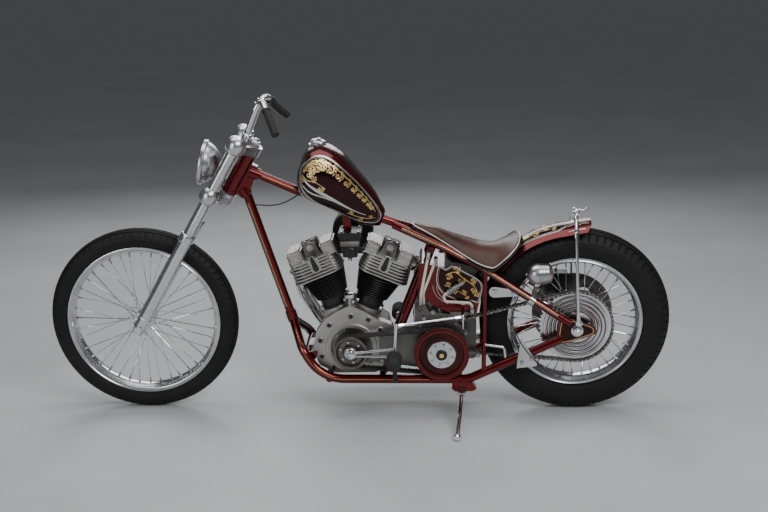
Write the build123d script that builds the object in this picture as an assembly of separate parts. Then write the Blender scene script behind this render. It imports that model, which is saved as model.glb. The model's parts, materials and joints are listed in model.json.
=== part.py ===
from build123d import *
import os
from math import atan2, cos, hypot, pi, radians, sin, sqrt

# A hardtail chopper with an open 45 degree V-twin, parked leaning on its side stand.
# Everything is drawn on the upright bike, in millimetres: X forward from the rear axle,
# Y to the rider's left, Z up from the floor. The whole is then leaned onto the stand.

# Wheels and stance
WHEELBASE = 1562.0
LEAN = 5.0
FRONT_RIM_R = 281.0
FRONT_RIM_HALF = 32.0
FRONT_SIDEWALL = 63.0
FRONT_TYRE_R = FRONT_RIM_R + FRONT_SIDEWALL
FRONT_TYRE_HALF = 40.0
REAR_RIM_R = 242.5
REAR_RIM_HALF = 42.0
REAR_SIDEWALL = 98.5
REAR_TYRE_R = REAR_RIM_R + REAR_SIDEWALL
REAR_TYRE_HALF = 60.0
SPOKE_R = 1.8
SPOKES_PER_SIDE = 18
RUNNING_FIT = 0.05
SEAT_GAP = 0.3
MOVING_GAP = 5.0

# Both tyres stand on the floor when the bike leans, so the rear axle follows from the crowns.
COS_LEAN = cos(radians(LEAN))
SIN_LEAN = sin(radians(LEAN))
FRONT_AXLE_Z = FRONT_TYRE_R
LEAN_LIFT = FRONT_TYRE_HALF * (1 - COS_LEAN)
REAR_AXLE_Z = REAR_TYRE_R - REAR_TYRE_HALF + (REAR_TYRE_HALF - LEAN_LIFT) / COS_LEAN

# Fork, measured along its own axis from the front axle
RAKE = 30.0
FORK_OFFSET = 50.0
FORK_HALF_WIDTH = 95.0
FORK_TUBE_R = 20.5
FORK_LEG_R = 25.0
LEG_TOP = 392.0
LOWER_TREE_S = 560.0
UPPER_TREE_S = 760.0
TREE_THICK = 34.0
STEM_R = 12.5
HEAD_TUBE_R = 27.0
BAR_R = 11.0
BAR_TOP = 168.0
BAR_HALF_WIDTH = 165.0
RISER_HALF = 34.0
RISER_BACK = 16.0
LEVER_AT = 0.27
GRIP_AT = 0.36
GRIP_R = 16.5
LAMP_R = 77.0

# Frame tubes
TUBE_R = 16.0
AXLE_TO_RAIL = 183.0
RAIL_Z = REAR_AXLE_Z - AXLE_TO_RAIL
RAIL_HALF = 131.0
DROPOUT_HALF = 124.0
PLATE_THICK = 9.0
RACK_HOLE_X = -46.0
RACK_HOLE_R = 4.2

STAY_R = 14.0
FORGING_R = 20.0
MOUNT_R = 12.0
MOUNT_Z = 82.0

# Engine and drive. The gearbox stands just ahead of the rear tyre and the rest follows it.
GEARBOX_BACK = REAR_TYRE_R + 11.0
CLUTCH_X = GEARBOX_BACK + 125.0
CLUTCH_Z = RAIL_Z + 107.0
CRANK_X = CLUTCH_X + 323.0
CRANK_Z = RAIL_Z + 107.0
VEE_HALF_ANGLE = 22.5
CASE_HALF = 58.0
COVER_DEPTH = 34.0
BARREL_BASE = 150.0
HEAD_BASE = 278.0
HEAD_CORE = 74.0
HEAD_FIN_HALF_X = 94.0
HEAD_FIN_HALF_Y = 74.0
HEAD_FIN_SHIFT = 8.0
HEAD_FINS = 7
FIN_PITCH = 11.5
BARREL_FINS = 9
CLUTCH_R = 98.0
PULLEY_R = 56.0
BELT_THICK = 7.0
BELT_Y = 132.0
BELT_WIDTH = 38.0

# Final drive
CHAIN_Y = 80.0
GEARBOX_SPROCKET_X = CLUTCH_X - 7.0
GEARBOX_SPROCKET_Z = CLUTCH_Z + 35.0
GEARBOX_SPROCKET_R = 48.0
WHEEL_SPROCKET_R = 130.0
WHEEL_TEETH = 51
SPROCKET_THICK = 6.0
CHAIN_GAP = 2 * MOVING_GAP + SPROCKET_THICK
CHAIN_PLATE_THICK = 2.5
CHAIN_HALF_HEIGHT = 6.0
CHAIN_ROLLER_R = 5.0
CHAIN_PITCH = 15.875
DISC_R = 146.0
DISC_Y = -78.0
DISC_THICK = 5.0

# Side stand, from its pivot under the left rail to its foot on the floor
STAND_PIVOT = (CLUTCH_X - 72.0, RAIL_HALF, RAIL_Z - 52.0)
STAND_FOOT_X = CLUTCH_X - 53.0
STAND_FOOT_Y = 372.0
STAND_ROD_R = 8.0
STAND_EYE_R = 17.0
STAND_EYE_HALF = 9.0
STAND_PIN_R = 7.0
STAND_FOOT_R = 13.0

# Bodywork
FENDER_CLEAR = 14.0
FENDER_THICK = 6.0
FENDER_HALF = 76.0
TANK_ANGLE = 19.5
HOSE_R = 5.0
EXHAUST_R = 22.0


def rod(start, end, radius, end_radius=None):
    """A round bar, or a taper where an end radius is given, between two points."""
    start, end = Vector(start), Vector(end)
    plane = Plane(origin=start, z_dir=end - start)
    if end_radius is None:
        return Part() + Solid.make_cylinder(radius, (end - start).length, plane)
    return Part() + Solid.make_cone(radius, end_radius, (end - start).length, plane)


def bent(points, radii, radius):
    """A round tube along straight runs that are joined by arcs of the listed radii."""
    path = FilletPolyline(*points, radius=radii)
    section = Plane(origin=path @ 0, z_dir=path % 0) * Circle(radius)
    return Part() + sweep(section, path=path)


def disc(x, z, radius, y_low, y_high):
    """A round disc across the bike."""
    return rod((x, y_low, z), (x, y_high, z), radius)


def ring(x, z, outer, inner, y_low, y_high):
    """A flat ring across the bike."""
    return disc(x, z, outer, y_low, y_high) - disc(x, z, inner, y_low - 1, y_high + 1)


def plate(points, y_low, y_high, corner=0.0):
    """A side outline of X and Z points, made thick across the bike, with rounded corners."""
    outline = Polygon(*points, align=None)
    if corner:
        outline = fillet(outline.vertices(), corner)
    return extrude(Pos(0, y_low, 0) * (Rot(90, 0, 0) * outline), y_high - y_low, dir=(0, 1, 0))


def block(x_low, x_high, y_low, y_high, z_low, z_high):
    """A box from its six limits."""
    size = (x_high - x_low, y_high - y_low, z_high - z_low)
    middle = ((x_high + x_low) / 2, (y_high + y_low) / 2, (z_high + z_low) / 2)
    return Pos(*middle) * Box(*size)


def both_sides(shape):
    """The shape and its mirror image on the bike's other side, as separate solids."""
    return [shape, mirror(shape, Plane.XZ)]


def largest(shape):
    """The biggest solid of a cut shape."""
    return max(shape.solids(), key=lambda piece: piece.volume)


def group(*shapes):
    """All the solids of the given shapes, kept apart in one compound."""
    solids = []
    for shape in shapes:
        for piece in shape if isinstance(shape, (list, tuple)) else [shape]:
            solids.extend(piece.solids())
    return Compound(solids)


# The fork's own frame has X forward across the legs and Z up along them
FORK = Pos(WHEELBASE, 0, FRONT_AXLE_Z) * Rot(0, -RAKE, 0)
STEER_AXIS_UP = Vector(-sin(radians(RAKE)), 0, cos(radians(RAKE)))


def fork_point(forward, across, along):
    """A point of the fork's frame, given in the bike's frame."""
    return (FORK * Pos(forward, across, along)).position


# Two local origins carry everything between the wheels: the neck, in the middle of the head
# tube, and the engine bay, under the crankshaft at the height of the lower rails.
NECK = fork_point(-FORK_OFFSET, 0, (LOWER_TREE_S + UPPER_TREE_S) / 2)


def bay(x, z):
    """X and Z of a point given from the engine bay's origin."""
    return (CRANK_X + x, RAIL_Z + z)


def bay_outline(points):
    """A side outline given from the engine bay's origin."""
    return [bay(x, z) for x, z in points]


def axle_outline(points):
    """A side outline given from the rear axle."""
    return [(x, REAR_AXLE_Z + z) for x, z in points]


def bay_point(x, y, z):
    """A point given from the engine bay's origin."""
    return (CRANK_X + x, y, RAIL_Z + z)


BACKBONE_PATH = [(NECK.X - 50, 0, NECK.Z), bay_point(186, 0, 665), bay_point(-160, 0, 545)]
STAY_PATH = [
    bay_point(-154, 15, 542),
    bay_point(-318, 64, 479),
    bay_point(-458, 92, 410),
    (24, DROPOUT_HALF, REAR_AXLE_Z + 25),
]


def lean_over(footprint):
    """Where the upright bike goes: leaned onto its stand, centred over its footprint."""
    leaned = Pos(0, 0, LEAN_LIFT) * Rot(-LEAN, 0, 0)
    box = (leaned * footprint).bounding_box()
    return Pos(-(box.min.X + box.max.X) / 2, -(box.min.Y + box.max.Y) / 2, 0) * leaned


# Wheels
def rim(radius, half):
    """A drop-centre rim: two flanges, the bead seats and the well, turned round the axle."""
    lip = 5.0
    seat = 10.0
    well = 20.0
    wall = 4.5
    outline = Polyline(
        (radius, half),
        (radius - seat - wall, half),
        (radius - well - wall, half * 0.5),
        (radius - well - wall, -half * 0.5),
        (radius - seat - wall, -half),
        (radius, -half),
        (radius, lip - half),
        (radius - seat, lip - half),
        (radius - well, lip - half * 0.5),
        (radius - well, half * 0.5 - lip),
        (radius - seat, half - lip),
        (radius, half - lip),
        close=True,
    )
    return Rot(90, 0, 0) * revolve(Rot(90, 0, 0) * make_face(outline), Axis.Z)


def rim_inner(radius):
    """The radius at which a rim's spokes end."""
    return radius - 24.5


def tyre(radius, half, rim_radius, rim_half):
    """A round-crowned tyre whose beads sit between the rim's flanges."""
    bead = rim_half - 5.0 - SEAT_GAP
    seat = rim_radius - 10.0 + SEAT_GAP
    shoulder = radius - half
    crown = CenterArc((shoulder, 0), half, -90, 180)
    walls = Polyline(
        (shoulder, half),
        ((shoulder + rim_radius) / 2 - 2, half * 0.93),
        (rim_radius + 2, bead),
        (seat, bead),
        (seat, -bead),
        (rim_radius + 2, -bead),
        ((shoulder + rim_radius) / 2 - 2, -half * 0.93),
        (shoulder, -half),
    )
    section = make_face([crown, *walls.edges()])
    return Rot(90, 0, 0) * revolve(Rot(90, 0, 0) * section, Axis.Z)


def spokes(flange_radius, flange_y, rim_radius, crossing):
    """Laced spokes from both flanges to the rim. Neighbours lean opposite ways and cross."""
    laced = []
    end = rim_inner(rim_radius) - 2 * SEAT_GAP
    start = flange_radius + 5 * SEAT_GAP
    step = 2 * pi / SPOKES_PER_SIDE
    for side in (1, -1):
        for number in range(SPOKES_PER_SIDE):
            way = 1 if number % 2 else -1
            hub_angle = step * (number + 0.25 * side)
            rim_angle = hub_angle + way * crossing
            hub_y = side * (flange_y + 4.0 * way)
            rim_y = side * 6.0
            low = Vector(start * cos(hub_angle), hub_y, start * sin(hub_angle))
            high = Vector(end * cos(rim_angle), rim_y, end * sin(rim_angle))
            plane = Plane(origin=low, z_dir=high - low)
            laced.append(extrude(plane * RegularPolygon(SPOKE_R, 6), (high - low).length))
    return group(laced)


def turned(profile):
    """A solid turned round the Y axis from (Y, radius) points, closed along the axle."""
    outline = Polyline(*[(radius, y) for y, radius in profile], close=True)
    return Rot(-90, 0, 0) * revolve(Rot(90, 0, 0) * make_face(outline), Axis.Z)


FRONT_FLANGE_R = 36.0
FRONT_FLANGE_Y = 31.0
FRONT_AXLE_R = 8.0
REAR_FLANGE_R = 47.0
REAR_FLANGE_Y = 38.0
REAR_AXLE_R = 10.0
COVER_LOW = CHAIN_Y + SPROCKET_THICK / 2 + 2
COVER_HIGH = COVER_LOW + 8.0
COVER_R = 115.0


def hub(flange_radius, flange_y, barrel_radius, right_end, left_end, axle_radius):
    """A spool hub: barrel, two spoke flanges and the bore for the axle."""
    flange = 4.0
    return turned(
        [
            (right_end, axle_radius + RUNNING_FIT),
            (right_end, barrel_radius * 0.8),
            (-flange_y - flange, barrel_radius),
            (-flange_y - flange, flange_radius),
            (-flange_y + flange, flange_radius),
            (-flange_y + flange + 6, barrel_radius),
            (flange_y - flange - 6, barrel_radius),
            (flange_y - flange, flange_radius),
            (flange_y + flange, flange_radius),
            (flange_y + flange, barrel_radius),
            (left_end, barrel_radius * 0.8),
            (left_end, axle_radius + RUNNING_FIT),
        ]
    )


def front_wheel():
    """The wire wheel between the fork legs."""
    leg_inner = FORK_HALF_WIDTH - FORK_LEG_R
    at = Pos(WHEELBASE, 0, FRONT_AXLE_Z)
    end = leg_inner - 3.0
    return {
        "front_tyre": at * tyre(FRONT_TYRE_R, FRONT_TYRE_HALF, FRONT_RIM_R, FRONT_RIM_HALF),
        "front_rim": at * rim(FRONT_RIM_R, FRONT_RIM_HALF),
        "front_spokes": at * spokes(FRONT_FLANGE_R, FRONT_FLANGE_Y, FRONT_RIM_R, radians(34)),
        "front_hub": at * hub(FRONT_FLANGE_R, FRONT_FLANGE_Y, 24, -end, end, FRONT_AXLE_R),
    }


def toothed(radius, root, teeth, y_low, y_high):
    """A sprocket blank with pointed teeth, as a disc across the bike at the origin."""
    points = []
    for number in range(2 * teeth):
        reach = radius if number % 2 else root
        points.append((reach * cos(pi * number / teeth), reach * sin(pi * number / teeth)))
    return plate(points, y_low, y_high)


def rear_wheel():
    """The wire wheel in the frame, with its chain sprocket, ringed cover and brake disc."""
    at = Pos(0, 0, REAR_AXLE_Z)
    disc_low = DISC_Y - DISC_THICK / 2
    disc_high = DISC_Y + DISC_THICK / 2
    sprocket_low = CHAIN_Y - SPROCKET_THICK / 2
    sprocket_high = CHAIN_Y + SPROCKET_THICK / 2
    hub_r = 31.0
    barrel = hub(REAR_FLANGE_R, REAR_FLANGE_Y, hub_r, disc_high, sprocket_low, REAR_AXLE_R)
    bore = REAR_AXLE_R + RUNNING_FIT
    tip = WHEEL_SPROCKET_R + 3
    root = WHEEL_SPROCKET_R - CHAIN_HALF_HEIGHT
    sprocket = toothed(tip, root, WHEEL_TEETH, sprocket_low, sprocket_high)
    sprocket -= disc(0, 0, bore, sprocket_low - 1, sprocket_high + 1)
    for number in range(5):
        turn = radians(72 * number + 20)
        sprocket -= disc(95 * cos(turn), 95 * sin(turn), 17, sprocket_low - 1, sprocket_high + 1)
    cover = ring(0, 0, COVER_R, 40, COVER_LOW, COVER_HIGH)
    for radius in (106, 92, 78, 64, 50):
        cover -= ring(0, 0, radius, radius - 7, COVER_HIGH - 3, COVER_HIGH + 1)
    carrier = ring(0, 0, 56, bore, sprocket_high, COVER_LOW + 4)
    brake = ring(0, 0, DISC_R, bore, disc_low, disc_high)
    for number in range(6):
        turn = radians(60 * number)
        brake -= disc(78 * cos(turn), 78 * sin(turn), 24, disc_low - 1, disc_high + 1)
    return {
        "rear_tyre": at * tyre(REAR_TYRE_R, REAR_TYRE_HALF, REAR_RIM_R, REAR_RIM_HALF),
        "rear_rim": at * rim(REAR_RIM_R, REAR_RIM_HALF),
        "rear_spokes": at * spokes(REAR_FLANGE_R, REAR_FLANGE_Y, REAR_RIM_R, radians(38)),
        "rear_hub": at * barrel,
        "rear_sprocket": at * (sprocket + carrier + cover),
        "brake_disc": at * brake,
    }


# Fork, handlebar and headlamp
CLAMP_R = 30.0
UPPER_BOSS_R = 34.0
LOWER_BOSS_R = 29.0


def tree_web(clamp, boss, thick):
    """A fork tree's plate: a smooth outline round both leg clamps and the steering stem."""
    across = FORK_HALF_WIDTH
    circles = [Pos(0, side * across) * Circle(clamp) for side in (1, -1)]
    circles.append(Pos(-FORK_OFFSET, 0) * Circle(boss))
    arm = [(clamp * 0.55, -across), (clamp * 0.3, 0), (clamp * 0.55, across), (-clamp * 0.8, across)]
    arm += [(-FORK_OFFSET - boss * 0.9, boss * 0.35), (-FORK_OFFSET - boss * 0.9, -boss * 0.35)]
    arm += [(-clamp * 0.8, -across)]
    web = Polygon(*arm, align=None)
    for circle in circles:
        web += circle
    return extrude(web, thick)


def fork():
    """The telescopic fork with its two trees, drawn along its own axis."""
    tubes = []
    legs = []
    tube_bore = FORK_TUBE_R + SEAT_GAP / 2
    lower_low = LOWER_TREE_S - TREE_THICK / 2
    upper_low = UPPER_TREE_S - TREE_THICK / 2
    collar_low = LOWER_TREE_S - 23.0
    collar_high = LOWER_TREE_S + 23.0
    cap_high = UPPER_TREE_S + 20.0
    lower = Pos(0, 0, lower_low) * tree_web(CLAMP_R - 4, LOWER_BOSS_R, TREE_THICK * 0.6)
    upper = Pos(0, 0, upper_low) * tree_web(CLAMP_R, UPPER_BOSS_R, TREE_THICK)
    lower += rod((-FORK_OFFSET, 0, LOWER_TREE_S), (-FORK_OFFSET, 0, upper_low), STEM_R)
    lower += rod((-FORK_OFFSET, 0, lower_low - 16), (-FORK_OFFSET, 0, lower_low), 23, LOWER_BOSS_R)
    lower += rod((-FORK_OFFSET, 0, lower_low), (-FORK_OFFSET, 0, LOWER_TREE_S + 17), LOWER_BOSS_R)
    upper += rod((-FORK_OFFSET, 0, upper_low + TREE_THICK), (-FORK_OFFSET, 0, cap_high), 22)
    for side in (1, -1):
        across = side * FORK_HALF_WIDTH
        tubes.append(rod((0, across, LEG_TOP), (0, across, UPPER_TREE_S + 22), FORK_TUBE_R))
        tubes[-1] += rod((0, across, UPPER_TREE_S + 22), (0, across, UPPER_TREE_S + 30), 17)
        leg = rod((0, across, 0), (0, across, LEG_TOP - 16), FORK_LEG_R)
        leg += rod((0, across, LEG_TOP - 16), (0, across, LEG_TOP), FORK_LEG_R + 3)
        leg += rod((0, across, LEG_TOP - 26), (0, across, LEG_TOP - 16), FORK_LEG_R, FORK_LEG_R + 3)
        leg += rod((0, across, -24), (0, across, 0), FORK_LEG_R - 6, FORK_LEG_R)
        legs.append(leg)
        lower += rod((0, across, collar_low), (0, across, collar_high), CLAMP_R - 1)
        upper += rod((0, across, upper_low + TREE_THICK), (0, across, cap_high), CLAMP_R - 2)
        pinch = rod((-CLAMP_R - 4, across - 16, LOWER_TREE_S), (-CLAMP_R - 4, across + 16, LOWER_TREE_S), 7)
        lower += pinch
    for side in (1, -1):
        across = side * FORK_HALF_WIDTH
        hole = rod((0, across, 500), (0, across, 830), tube_bore)
        lower -= hole
        upper -= hole
    bar_foot = UPPER_TREE_S + TREE_THICK / 2
    bar_top = bar_foot + BAR_TOP
    # Each half rises from its foot on the tree, then turns out and back to the grip
    foot = (-RISER_BACK, RISER_HALF, bar_foot)
    start = Vector(5, RISER_HALF + 4, bar_top)
    end = Vector(-98, BAR_HALF_WIDTH, bar_top - 56)
    half = bent([foot, start, end], [26], BAR_R)
    handlebar = half + mirror(half, Plane.XZ)
    handlebar += rod((0, -RISER_HALF - 2, bar_top - 36), (0, RISER_HALF + 2, bar_top - 36), 9)
    for side in (1, -1):
        across = side * RISER_HALF
        handlebar += rod((-RISER_BACK, across, bar_foot), (-RISER_BACK, across, bar_foot + 20), 16)
    handlebar -= block(-80, 40, -90, 90, bar_foot - 40, bar_foot)
    along = (end - start).normalized()
    grip_start = start + (end - start) * GRIP_AT
    grip = rod(grip_start, end, GRIP_R) + rod(end, end + along * 8, GRIP_R + 4)
    grip += rod(grip_start, grip_start + along * 6, GRIP_R + 3)
    grips = both_sides(grip - half)
    # The brake lever on the right, on a clamp ahead of the grip
    pivot = start + (end - start) * LEVER_AT
    lever = rod(pivot, pivot + Vector(38, 8, 4), 10)
    lever += rod(pivot + Vector(36, 8, 4), end + Vector(28, 6, 2), 6, 4.5)
    handlebar += mirror(lever, Plane.XZ)
    axle = rod((0, -FORK_HALF_WIDTH - 34, 0), (0, FORK_HALF_WIDTH + 34, 0), FRONT_AXLE_R)
    legs = [leg - rod((0, -150, 0), (0, 150, 0), FRONT_AXLE_R + SEAT_GAP / 2) for leg in legs]
    stop = FORK_HALF_WIDTH - FORK_LEG_R
    for side in (1, -1):
        axle += rod((0, side * (stop - 2.6), 0), (0, side * (stop - SEAT_GAP), 0), 14)
        cap = FORK_HALF_WIDTH + FORK_LEG_R + SEAT_GAP
        axle += rod((0, side * cap, 0), (0, side * (cap + 10), 0), 13)
    return {
        "fork_tubes": FORK * group(tubes),
        "fork_legs": FORK * group(legs),
        "lower_tree": FORK * lower,
        "upper_tree": FORK * upper,
        "handlebar": FORK * handlebar,
        "grips": FORK * group(grips),
        "front_axle": FORK * axle,
    }


def dome(rim_r, rim_z, tip_z):
    """A round cap's profile: an arc from its rim to its tip, centred on the axis it turns round."""
    way = 1 if tip_z > rim_z else -1
    rise = abs(tip_z - rim_z)
    radius = (rim_r * rim_r + rise * rise) / (2 * rise)
    centre = tip_z - way * radius
    half = atan2(rim_r, way * (rim_z - centre)) / 2
    middle = (radius * sin(half), centre + way * radius * cos(half))
    return ThreePointArc((rim_r, rim_z), middle, (0, tip_z))


LAMP_FORWARD = 55.0
LAMP_ALONG = 639.0
LAMP_TILT = 11.0
LAMP_DEPTH = 66.0


def headlamp():
    """A round polished headlamp on a short stalk from the lower tree."""
    lip = 12.0
    outline = [
        Line((0, 0), (LAMP_R - 6, 0)),
        Line((LAMP_R - 6, 0), (LAMP_R, -4)),
        Line((LAMP_R, -4), (LAMP_R, -lip)),
        dome(LAMP_R, -lip, -LAMP_DEPTH),
        Line((0, -LAMP_DEPTH), (0, 0)),
    ]
    shell = revolve(Rot(90, 0, 0) * make_face(outline), Axis.Z)
    at = FORK * Pos(LAMP_FORWARD, 0, LAMP_ALONG) * Rot(0, 90 - LAMP_TILT + RAKE, 0) * Pos(0, 0, 26)
    seat = fork_point(-4, 0, lower_face())
    low = (at * Pos(-LAMP_R + 8, 0, -26)).position
    stalk = rod(seat - STEER_AXIS_UP * 1, low, 9)
    lens = Cylinder(LAMP_R - 9, 5, align=(Align.CENTER, Align.CENTER, Align.MIN))
    lower_edge = FORK * block(-90, 60, -60, 60, lower_face() - 60, lower_face())
    return {"headlamp": at * shell + (stalk - lower_edge), "headlamp_lens": at * lens}


def lower_face():
    """How far up the fork the lower tree's plate has its top face."""
    return LOWER_TREE_S - TREE_THICK / 2 + TREE_THICK * 0.6


# Frame
def backbone_tube(radius):
    """The backbone from the neck to the saddle, as a tube of the given radius."""
    return bent(BACKBONE_PATH, [400], radius)


def stay_tube(radius):
    """The left upper stay from the backbone to the axle plate."""
    return bent(STAY_PATH, [260, 260], radius)


def frame():
    """The welded frame: head, backbone, cradle, stays and the rear axle plates."""
    head_low = fork_point(-FORK_OFFSET, 0, LOWER_TREE_S + TREE_THICK / 2 + MOVING_GAP)
    head_high = fork_point(-FORK_OFFSET, 0, UPPER_TREE_S - TREE_THICK / 2 - MOVING_GAP)
    head = rod(head_low, head_high, HEAD_TUBE_R)
    head += rod(head_low, head_low + STEER_AXIS_UP * 12, HEAD_TUBE_R + 3)
    head += rod(head_high - STEER_AXIS_UP * 12, head_high, HEAD_TUBE_R + 3)
    web = [(17, -69), (-43, 35), (-71, 21), (-53, -29), (-31, -85), (-9, -91)]
    gusset = [(NECK.X + x, NECK.Z + z) for x, z in web]
    neck = head + plate(gusset, -13, 13, 6)
    neck += rod((NECK.X - 39, 0, NECK.Z + 4), (NECK.X - 71, 0, NECK.Z - 10), 22)
    neck += backbone_tube(TUBE_R)
    steady = bay_outline([(-4, 518.5), (24, 518.5), (30, 600), (0, 590)])
    neck += plate(steady, -5, 5)
    neck_foot = Vector(NECK.X - 25, 0, NECK.Z - 79)
    neck += rod((NECK.X - 11, 0, NECK.Z - 55), neck_foot, 21)
    # One down tube ends in a forged fork, whose legs spread to the two rails
    fork_at = Vector(*bay_point(218, 0, 182))
    up_tube = (neck_foot - fork_at).normalized()
    knee = bay_point(176, 108, 104)
    corner = bay_point(108, RAIL_HALF - 2, 0)
    rear_corner = (CLUTCH_X - 93, RAIL_HALF, RAIL_Z)
    cradle_path = [fork_at, knee, corner, rear_corner, (40, DROPOUT_HALF, REAR_AXLE_Z - 25)]
    bore = rod(head_low - STEER_AXIS_UP * 30, head_high + STEER_AXIS_UP * 30, STEM_R + RUNNING_FIT)
    neck -= bore
    loop = bent(cradle_path, [60, 150, 120], TUBE_R)
    cradle = Part() + loop + mirror(loop, Plane.XZ)
    cradle += Pos(fork_at) * Sphere(FORGING_R) + rod(fork_at, fork_at + up_tube * 34, FORGING_R)
    cradle += rod(fork_at, neck_foot, TUBE_R)
    cradle += rod(bay_point(162, -112, MOUNT_Z), bay_point(162, 112, MOUNT_Z), MOUNT_R)
    ear = bay_outline([(170, 92), (120, 92), (132, 62), (166, 66)])
    case_face = CASE_HALF + COVER_DEPTH + SEAT_GAP
    cradle += plate(ear, case_face, case_face + 6, 4)
    for x in (CRANK_X + 80, CRANK_X - 110, CLUTCH_X - 62):
        cradle += rod((x, -RAIL_HALF, RAIL_Z), (x, RAIL_HALF, RAIL_Z), 13)
    stay = stay_tube(STAY_R)
    inner = DROPOUT_HALF - PLATE_THICK / 2
    outer = DROPOUT_HALF + PLATE_THICK / 2
    ends = [(60, 47), (20, 43), (-34, 25), (-66, 11), (-66, -11), (-30, -25), (46, -49), (74, -41)]
    axle_hole = disc(0, REAR_AXLE_Z, REAR_AXLE_R + SEAT_GAP / 2, -200, 200)
    rack_hole = disc(RACK_HOLE_X, REAR_AXLE_Z, RACK_HOLE_R, -200, 200)
    dropout = plate(axle_outline(ends), inner, outer, 9) - axle_hole - rack_hole
    stays = Part() + stay + dropout - axle_hole
    post = rod(bay_point(-292, 60, 474), bay_point(-110, 78, 0), 13)
    rear_post = rod((REAR_TYRE_R - 13, RAIL_HALF - 3, RAIL_Z + 22), bay_point(-478, 99, 400), 8)
    cradle -= neck
    cradle -= group(both_sides(dropout))
    cradle -= group(both_sides(block(-80, 52, 60, 150, REAR_AXLE_Z - 61, REAR_AXLE_Z + 59)))
    stays -= neck
    post -= cradle
    post -= stays
    rear_post -= cradle
    rear_post -= stays
    return {
        "frame_backbone": neck,
        "frame_cradle": cradle,
        "frame_stays": group(both_sides(stays)),
        "frame_posts": group(both_sides(post), both_sides(rear_post)),
        "stand_bracket": stand_lug() - cradle,
    }


def stand_lug():
    """The two-lobed lug under the left rail, with the pin that the side stand turns on."""
    pin = Vector(STAND_PIVOT)
    axis = stand_axis()
    shape = [(33, 46), (-37, 46), (-53, 22), (-41, 12), (-5, 10), (25, 10), (37, 22)]
    lug = plate([(pin.X + x, pin.Z + z) for x, z in shape], pin.Y - 15, pin.Y + 15, 4)
    lug -= rod(pin - axis * 40, pin + axis * (STAND_EYE_HALF + 5), 80)
    lug += rod(pin + axis * (STAND_EYE_HALF + SEAT_GAP), pin + axis * (STAND_EYE_HALF + 20), STAND_EYE_R)
    lug += rod(pin - axis * (STAND_EYE_HALF + 7), pin + axis * (STAND_EYE_HALF + 2), STAND_PIN_R)
    head_end = pin - axis * (STAND_EYE_HALF + SEAT_GAP)
    return lug + rod(pin - axis * (STAND_EYE_HALF + 7), head_end, STAND_PIN_R + 5)


def stand_foot():
    """The middle of the stand's foot, whose ball touches the floor when the bike leans."""
    drop = (STAND_FOOT_R - LEAN_LIFT + SIN_LEAN * STAND_FOOT_Y) / COS_LEAN
    return Vector(STAND_FOOT_X, STAND_FOOT_Y, drop)


def stand_axis():
    """The stand's hinge axis: square to the leg as parked and to the leg folded back."""
    return (stand_foot() - Vector(STAND_PIVOT)).cross(Vector(-1, 0, 0)).normalized()


def side_stand():
    """The side stand's leg, from the eye on its pin to the foot that meets the floor."""
    pivot = Vector(STAND_PIVOT)
    axis = stand_axis()
    foot = stand_foot()
    knee = pivot + (foot - pivot) * 0.45 - axis * 9
    leg = bent([pivot, knee, foot], [160], STAND_ROD_R) + Pos(foot) * Sphere(STAND_FOOT_R)
    eye = rod(pivot - axis * STAND_EYE_HALF, pivot + axis * STAND_EYE_HALF, STAND_EYE_R)
    bore = rod(pivot - axis * 40, pivot + axis * 40, STAND_PIN_R + RUNNING_FIT)
    return {"side_stand": leg + eye - bore}


def rear_axle():
    """The rear axle with its end nuts."""
    nut_in = DROPOUT_HALF + PLATE_THICK / 2 + SEAT_GAP
    axle = disc(0, REAR_AXLE_Z, REAR_AXLE_R, -nut_in - 12, nut_in + 12)
    for side in (1, -1):
        axle += disc(0, REAR_AXLE_Z, 17, *sorted((side * nut_in, side * (nut_in + 11))))
        inner = DROPOUT_HALF - PLATE_THICK / 2 - SEAT_GAP
        axle += disc(0, REAR_AXLE_Z, 16, *sorted((side * (inner - 14), side * inner)))
    return {"rear_axle": axle}


# Engine
def cylinder_frame():
    """The front cylinder's own frame: Z up along the bore from the crankshaft, X forward."""
    return Pos(CRANK_X, 0, CRANK_Z) * Rot(0, VEE_HALF_ANGLE, 0)


def vee(shape):
    """The front cylinder's shape and its mirror image for the rear cylinder."""
    return [shape, mirror(shape, Plane.YZ.offset(CRANK_X))]


def upright_slab(width, depth, corner, low, high, x=0.0):
    """A block with rounded corners that stands along the bore in a cylinder's frame."""
    return Pos(x, 0, low) * extrude(RectangleRounded(width, depth, corner), high - low)


def cylinder_head():
    """The front head in its own frame: core, wrapped fins, rocker boxes and plug recess."""
    top = HEAD_BASE + HEAD_CORE
    head = upright_slab(150, 112, 24, HEAD_BASE, top)
    for number in range(HEAD_FINS):
        low = HEAD_BASE + number * FIN_PITCH
        width = 2 * (HEAD_FIN_HALF_X - 1.5 * number)
        head += upright_slab(width, 2 * HEAD_FIN_HALF_Y - 2 * number, 44, low, low + 4.5, HEAD_FIN_SHIFT)
    # Columns: middle, width, depth, low and high from the head's base
    boxes = [(58, 60, 106, 62, 112), (-64, 56, 106, 62, 104)]
    for middle, width, depth, low, high in boxes:
        head += upright_slab(width, depth, 16, HEAD_BASE + low, HEAD_BASE + high, middle)
        head += upright_slab(width - 14, depth - 14, 14, HEAD_BASE + high, HEAD_BASE + high + 6, middle)
    rib = Pos(-1, 62, HEAD_BASE + 50) * Box(38, 20, 48)
    recess = Pos(-1, 62, HEAD_BASE + 55) * Box(20, 40, 44)
    return head + rib - recess


def spring_stack(x, y, low):
    """A valve spring between its seat and its collar, as a stack of coils."""
    stack = rod((x, y, low), (x, y, low + 38), 8)
    for number in range(4):
        stack += rod((x, y, low + 3 + number * 9), (x, y, low + 8 + number * 9), 12)
    return stack + rod((x, y, low + 36), (x, y, low + 42), 10)


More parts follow.
